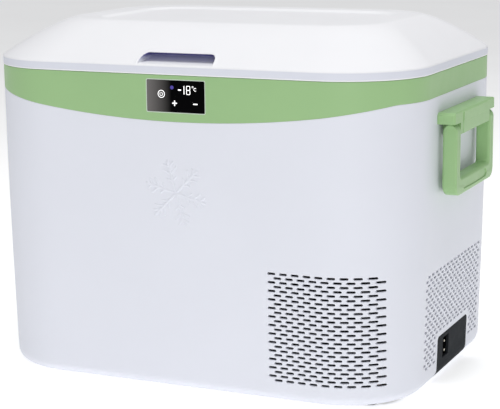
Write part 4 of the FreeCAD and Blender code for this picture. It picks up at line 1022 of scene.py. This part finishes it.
# ---- display -------------------------------------------------------------------------------------
mark_proud = 0.05
mark_thick = 0.12


def rounded_outline(hx, hz, r, per_corner=6):
    points = []
    for sx, sz, start in ((1, 1, 0), (-1, 1, 90), (-1, -1, 180), (1, -1, 270)):
        for k in range(per_corner + 1):
            a = math.radians(start + 90 * k / per_corner)
            points.append((sx * (hx - r) + r * math.cos(a), sz * (hz - r) + r * math.sin(a)))
    return points


def display():
    """Thin rim round the glass, with the glass a hair below it."""
    cx, cz = display_x, display_z
    hx, hz = display_wide / 2, display_tall / 2

    def ring(margin, y, r):
        return [(cx + x, y, cz + z) for x, z in rounded_outline(hx - margin, hz - margin, r)]
    face = -half_y
    rim = Builder()
    # distance in from the edge, depth behind the front wall, and corner radius
    rim_profile = ((0.0, 2.5, 2.0), (0.0, -0.05, 2.0), (0.12, -0.16, 1.9), (0.3, -0.2, 1.75),
                   (0.62, -0.2, 1.5), (0.8, -0.14, 1.35), (0.9, 0.02, 1.2), (0.9, 2.5, 1.2))
    glass_profile = ((0.95, 2.3, 1.15), (0.95, 0.12, 1.15), (1.05, 0.03, 1.05), (1.25, 0.0, 0.9),
                     (6.0, 0.0, 0.9))
    rim.tube([ring(margin, face + deep, r) for margin, deep, r in rim_profile], capped=False)
    loops = len(rounded_outline(1, 1, 0.1))
    total = len(rim.points)
    rim.strip(list(range(total - loops, total)), list(range(loops)), closed=True)
    rim.piece("display_rim", rim_green, "cabinet", sharp=50.0,
              stands_for=("display_bezel",))
    glass = Builder()
    glass.tube([ring(margin, face + deep, r) for margin, deep, r in glass_profile])
    glass.piece("display_glass", lens, "cabinet", sharp=40.0,
                stands_for=("display_lens",))


def flat_mark(build, points):
    """A thin raised mark on the glass, from an outline in x and z."""
    front = -half_y - mark_proud
    back = front + mark_thick
    build.tube([[(x, back, z) for x, z in points], [(x, front, z) for x, z in points]])


def bar(build, x0, z0, x1, z1, width):
    """A straight stroke with round ends."""
    angle = math.atan2(z1 - z0, x1 - x0)
    points = []
    for (x, z), start in (((x1, z1), -90), ((x0, z0), 90)):
        for k in range(7):
            a = angle + math.radians(start + 180 * k / 6)
            points.append((x + width / 2 * math.cos(a), z + width / 2 * math.sin(a)))
    flat_mark(build, points)


def arc(build, cx, cz, r, a0, a1, width, parts=28):
    """A curved stroke."""
    outer = []
    inner = []
    for k in range(parts + 1):
        a = math.radians(a0 + (a1 - a0) * k / parts)
        outer.append((cx + (r + width / 2) * math.cos(a), cz + (r + width / 2) * math.sin(a)))
        inner.append((cx + (r - width / 2) * math.cos(a), cz + (r - width / 2) * math.sin(a)))
    for k in range(parts):
        flat_mark(build, [outer[k], outer[k + 1], inner[k + 1], inner[k]])


def ring_mark(build, cx, cz, half_wide, half_tall, r, width):
    """A closed stroke round a rounded rectangle."""
    outer = rounded_outline(half_wide + width / 2, half_tall + width / 2, r + width / 2)
    inner = rounded_outline(half_wide - width / 2, half_tall - width / 2, max(0.1, r - width / 2))
    count = len(outer)
    for k in range(count):
        after = (k + 1) % count
        flat_mark(build, [(cx + x, cz + z) for x, z in
                          (outer[k], outer[after], inner[after], inner[k])])


def display_marks():
    """Lit signs: power ring, minus eighteen degrees, plus, minus and a blue lamp."""
    marks = Builder()
    power_x, power_z = -14.6, 322.0
    arc(marks, power_x, power_z, 3.8, 0, 360, 0.65)
    arc(marks, power_x, power_z, 1.75, 125, 415, 0.5, 20)
    bar(marks, power_x, power_z + 0.6, power_x, power_z + 1.9, 0.45)
    # the reading: a minus sign, a one, an eight, and the sign for degrees Celsius
    digit_middle, digit_half = 326.9, 4.0
    one_x, eight_x, degree_x, letter_x = 12.0, 16.9, 22.0, 24.9
    bar(marks, 5.5, digit_middle, 8.1, digit_middle, 1.3)
    bar(marks, one_x, digit_middle - digit_half, one_x, digit_middle + digit_half, 0.85)
    for middle in (324.7, 329.1):
        ring_mark(marks, eight_x, middle, 2.0, 2.15, 1.0, 0.7)
    arc(marks, degree_x, 330.5, 0.8, 0, 360, 0.4, 16)
    arc(marks, letter_x, 327.9, 1.5, 50, 310, 0.55, 16)
    # the two touch pads below it
    plus_x, plus_z, plus_wide, plus_tall = 0.8, 312.8, 2.3, 2.4
    minus_x, minus_z, minus_half = 24.9, 312.7, 2.0
    pad_stroke = 1.2
    bar(marks, plus_x - plus_wide, plus_z, plus_x + plus_wide, plus_z, pad_stroke)
    bar(marks, plus_x, plus_z - plus_tall, plus_x, plus_z + plus_tall, pad_stroke)
    bar(marks, minus_x - minus_half, minus_z, minus_x + minus_half, minus_z, pad_stroke)
    marks.piece("display_marks", lit_white, "cabinet", sharp=30.0,
                weighted=False)
    lamp = Builder()
    lamp_x, lamp_z, lamp_radius = -2.1, 329.2, 2.0
    flat_mark(lamp, [(lamp_x + lamp_radius * math.cos(math.radians(15 * k)),
                      lamp_z + lamp_radius * math.sin(math.radians(15 * k))) for k in range(24)])
    lamp.piece("display_lamp", lit_blue, "cabinet", sharp=30.0,
               weighted=False)


rim_green = moulded("display_rim_plastic", (0.62, 0.72, 0.60), rough=0.35, grain=0.02, drift=0.01)


# ---- snowflake moulded on the front --------------------------------------------------------------
def ridge(build, x0, z0, x1, z1, width, height):
    """A low rounded ridge on the front wall between two points."""
    length = math.hypot(x1 - x0, z1 - z0)
    ux, uz = (x1 - x0) / length, (z1 - z0) / length
    parts = max(2, round(length / 2.0))
    section = ((-0.5, -0.3), (-0.42, 0.30), (-0.28, 0.72), (0.0, 1.0), (0.28, 0.72), (0.42, 0.30),
               (0.5, -0.3))
    rings = []
    stations = [(-width * 0.5, 0.1), (-width * 0.42, 0.55), (-width * 0.2, 0.9)]
    stations += [(length * k / parts, 1.0) for k in range(parts + 1)]
    stations += [(length + width * 0.2, 0.9), (length + width * 0.42, 0.55),
                 (length + width * 0.5, 0.1)]
    for along, size in stations:
        x = x0 + ux * along
        z = z0 + uz * along
        loop = []
        for across, up in section:
            px = x - uz * across * width * size
            pz = z + ux * across * width * size
            rise = up * height * size if up > 0 else -0.35
            loop.append((px, -(half_y - belly(pz)) - rise, pz))
        rings.append(loop)
    build.tube(rings)


def snowflake():
    """Six arms, each with three pairs of twigs."""
    build = Builder()
    cx, cz, reach = 0.0, 217.0, 35.0
    hub = 3.0
    arm_wide, arm_proud = 3.4, 0.75
    twig_wide, twig_proud, twig_angle = 2.8, 0.66, math.radians(52)
    for arm in range(6):
        a = math.radians(105 + 60 * arm)
        dx, dz = math.cos(a), math.sin(a)
        ridge(build, cx + dx * hub, cz + dz * hub, cx + dx * reach, cz + dz * reach, arm_wide,
              arm_proud)
        for along, size in ((13.0, 6.5), (21.0, 9.5), (28.5, 6.5)):
            for turn in (-1, 1):
                b = a + turn * twig_angle
                x = cx + dx * along
                z = cz + dz * along
                ridge(build, x, z, x + math.cos(b) * size, z + math.sin(b) * size, twig_wide,
                      twig_proud)
    build.piece("snowflake_relief", white, "cabinet", sharp=60.0,
                weighted=False)


# ---- carrying handle -----------------------------------------------------------------------------
def bail():
    """Right-hand carrying bail: one rounded bar down, across and up again, with half-round ends."""
    back, front = 254.0, 270.5
    axis_x, axis_z = 262.25, 278.5
    half_y, low = 70.0, 210.0
    inner_y, inner_z = 55.0, 228.0
    outer_r, inner_r = 12.0, 4.0
    groove_z, groove_half, groove_y, groove_depth = 219.0, 4.9, 44.0, 1.3
    outer, inner, ends = [], [], []
    radius = (front - back) / 2
    for k in range(9):
        a = math.radians(88 - 11 * k)
        outer.append((-half_y, axis_z + radius * math.sin(a)))
        inner.append((-inner_y, axis_z + radius * math.sin(a)))
        ends.append(math.cos(a))
    for k in range(1, 7):
        t = k / 6
        outer.append((-half_y, axis_z + (low + outer_r - axis_z) * t))
        inner.append((-inner_y, axis_z + (inner_z + inner_r - axis_z) * t))
        ends.append(1.0)
    for k in range(1, 11):
        a = math.radians(90 * k / 10)
        outer.append((-half_y + outer_r - outer_r * math.cos(a),
                      low + outer_r - outer_r * math.sin(a)))
        inner.append((-inner_y + inner_r - inner_r * math.cos(a),
                      inner_z + inner_r - inner_r * math.sin(a)))
        ends.append(1.0)
    first_o, first_i = outer[-1][0], inner[-1][0]
    stops = [0.02, 0.05, 0.09, 0.13, 0.17, 0.21, 0.26, 0.34, 0.5, 0.75, 1.0]
    for t in stops:
        outer.append((first_o * (1 - t), low))
        inner.append((first_i * (1 - t), inner_z))
        ends.append(1.0)
    for line in (outer, inner):
        line += [(-y, z) for y, z in reversed(line[:-1])]
    ends += list(reversed(ends[:-1]))

    def fillet_points(corner, r, start, parts=5):
        """Points of a rounded corner, from its sharp place and the two ways that it points."""
        cu, cv, su, sv = corner
        points = []
        for k in range(parts + 1):
            a = math.radians(start + 90 * k / parts)
            points.append((cu - su * r + r * math.cos(a), cv - sv * r + r * math.sin(a)))
        return points
    build = Builder()
    rings = []
    for (oy, oz), (iy, iz), end in zip(outer, inner, ends):
        width = math.hypot(oy - iy, oz - iz)
        uy, uz = (oy - iy) / width, (oz - iz) / width
        depth = radius * end
        x0, x1 = axis_x - depth, axis_x + depth
        soft = min(1.0, depth / radius)
        small, large = 1.6 * soft, 3.3 * soft
        outer_front = fillet_points((width, x1, 1, 1), small, 0)
        # across the front face from the inner edge to the outer one, with the finger groove
        middle_y = (oy + iy) / 2
        reach = groove_y - groove_half
        over = abs(middle_y) - reach
        inside = abs(middle_y) < groove_y and iz < inner_z + 0.5 and end == 1.0
        half = groove_half if over < 0 else math.sqrt(max(0.0, groove_half ** 2 - over ** 2))
        half = half if inside else 0.0
        drop = groove_depth if half > 0.4 else 0.0
        centre = abs(groove_z - inner_z) if inside else width / 2
        front_face = [(centre - half - 0.25, 0.0), (centre - half, 0.25), (centre - half + 0.2, 1.0),
                      (centre + half - 0.2, 1.0), (centre + half, 0.25), (centre + half + 0.25, 0.0)]
        front_face = [(u, x1 - drop * f) for u, f in front_face]
        inner_front = fillet_points((0.0, x1, -1, 1), large, 90)
        inner_back = fillet_points((0.0, x0, -1, -1), large, 180)
        outer_back = fillet_points((width, x0, 1, -1), large, 270)
        loop = inner_front[::-1] + front_face + outer_front[::-1] + outer_back[::-1]
        loop += inner_back[::-1]
        rings.append([(x, iy + uy * u, iz + uz * u) for u, x in loop])
    build.tube(rings)
    right = build.piece("bail_right", green, "handle_right", sharp=40.0,
                        stands_for=("handle_bail_right",))
    mirrored(right, "bail_left", "handle_left", ("handle_bail_left",))


# ---- materials on the CAD nodes that stay in view ------------------------------------------------
def soften(name, width, segments=2, angle=30.0):
    """Rounds the hard edges of a CAD node."""
    made = nodes[name]
    weld = made.modifiers.new("weld", "WELD")
    weld.merge_threshold = 1e-6
    bevel = made.modifiers.new("edge", "BEVEL")
    bevel.width = width * MM
    bevel.segments = segments
    bevel.limit_method = "ANGLE"
    bevel.angle_limit = math.radians(angle)
    bevel.harden_normals = False
    add_weighted(made)


def dress(material, *names):
    """Gives CAD nodes a material."""
    for name in names:
        for place in nodes[name].material_slots:
            place.material = material


dress(white, "outer_shell", "front_vent_grille", "side_vent_grille")
dress(lid_white, "lid_cover")
dress(inner_white, "lid_inner_panel", "inner_liner")
dress(green, "trim_band", "handle_bracket_right", "handle_bracket_left", "handle_bail_right",
      "handle_bail_left")
dress(black, "connector_panel", "fan_frame", "fan_rotor", "compressor_terminal_cover",
      "display_board")
dress(black_gloss, "dc_socket")
dress(rim_green, "display_bezel")
dress(lens, "display_lens")
dress(foam, "foam_insulation", "lid_foam")
dress(brass, "dc_contacts")
dress(zinc, "base_pan", "base_screws", "bay_partition", "compressor_studs",
      "fan_bracket", "fan_screws", "handle_pins_right",
      "handle_pins_left", "handle_screws", "body_hinge_leaves", "lid_hinge_leaves",
      "hinge_pins", "body_hinge_screws", "lid_hinge_screws")
dress(iron, "compressor_pump")
dress(can_paint, "compressor_shell", "condenser_tube", "condenser_fins", "condenser_end_plates")
dress(dark_rubber, "rubber_feet", "compressor_grommets")
dress(grey_rubber, "lid_gasket")
dress(bare_aluminium, "evaporator_coil", "heat_sink")
dress(copper, "discharge_line", "liquid_line", "filter_drier",
      "capillary_tube", "suction_line", "temperature_sensor")
dress(board, "control_board")
dress(inner_white, "board_standoffs")
dress(lead_sleeve, "power_lead", "display_lead")
for side in ("right", "left"):
    soften("handle_bracket_" + side, 0.45)

casing()
green_band()
lid()
connector_panel()
display()
display_marks()
snowflake()
bail()


# ---- floor, light and camera ---------------------------------------------------------------------
floor_reach = 14.0
floor_glow = 0.45
room_light = 0.3
aim = (0, 0, 0.2)
# name, place and size in metres, and watts
softboxes = (("front", (0.1, -2.5, 2.4), (1.8, 1.4), 7),
             ("corner", (1.2, -2.4, 0.8), (1.0, 1.0), 10),
             ("top", (0.1, -0.3, 2.4), (1.6, 1.2), 25),
             ("right_back", (1.7, 1.1, 2.0), (0.8, 0.8), 3),
             ("top_back", (0.2, 1.4, 1.9), (1.6, 1.0), 4))
camera_place = (0.7505, -1.6598, 0.5357)
camera_turns = (24.336, 11.272, -0.538)     # left, down and roll, in degrees
camera_lens = 114.46


def floor():
    """Plain pale paper floor."""
    mesh = bpy.data.meshes.new("floor")
    mesh.from_pydata([(x * floor_reach, y * floor_reach, 0)
                      for x, y in ((-1, -1), (1, -1), (1, 1), (-1, 1))], [], [(0, 1, 2, 3)])
    made = add_object("floor", mesh)
    material, tree, shader = new_material("floor_paper")
    slow = noise(tree, 3.0)
    colour_out = blend_colour(tree, slow.outputs["Fac"], (0.93, 0.93, 0.93), (0.95, 0.95, 0.95))
    tree.links.new(colour_out, shader.inputs["Base Color"])
    tree.links.new(colour_out, shader.inputs["Emission Color"])
    shader.inputs["Emission Strength"].default_value = floor_glow
    shader.inputs["Roughness"].default_value = 0.9
    shader.inputs["Specular IOR Level"].default_value = 0.1
    mesh.materials.append(material)


def area_light(name, place, target, size, power):
    """A rectangular softbox that faces a target."""
    data = bpy.data.lights.new(name, "AREA")
    data.shape = "RECTANGLE"
    data.size, data.size_y = size
    data.energy = power
    made = add_object(name, data)
    made.location = place
    made.rotation_mode = "QUATERNION"
    made.rotation_quaternion = (Vector(target) - Vector(place)).to_track_quat("-Z", "Y")


def studio():
    """Softboxes round the object in an evenly lit pale room."""
    world = bpy.data.worlds.new("studio")
    world.use_nodes = True
    tree = world.node_tree
    background = tree.nodes["Background"]
    background.inputs["Color"].default_value = (0.96, 0.97, 1.0, 1)
    background.inputs["Strength"].default_value = room_light
    bpy.context.scene.world = world
    for name, place, size, power in softboxes:
        area_light(name, place, aim, size, power)


def camera():
    """Camera from its place and turns."""
    yaw, pitch, roll = (math.radians(a) for a in camera_turns)
    forward = Vector((-math.sin(yaw) * math.cos(pitch), math.cos(yaw) * math.cos(pitch),
                      -math.sin(pitch)))
    right = Vector((math.cos(yaw), math.sin(yaw), 0))
    up = right.cross(forward)
    right_rolled = math.cos(roll) * right + math.sin(roll) * up
    up_rolled = -math.sin(roll) * right + math.cos(roll) * up
    turn = Matrix((right_rolled, up_rolled, -forward)).transposed().to_4x4()
    data = bpy.data.cameras.new("camera")
    data.lens = camera_lens
    data.sensor_width = 36.0
    data.clip_start = 0.05
    made = add_object("camera", data)
    made.matrix_world = Matrix.Translation(camera_place) @ turn
    bpy.context.scene.camera = made


floor()
studio()
camera()
bpy.context.scene.view_settings.view_transform = "Standard"

bpy.context.view_layer.update()
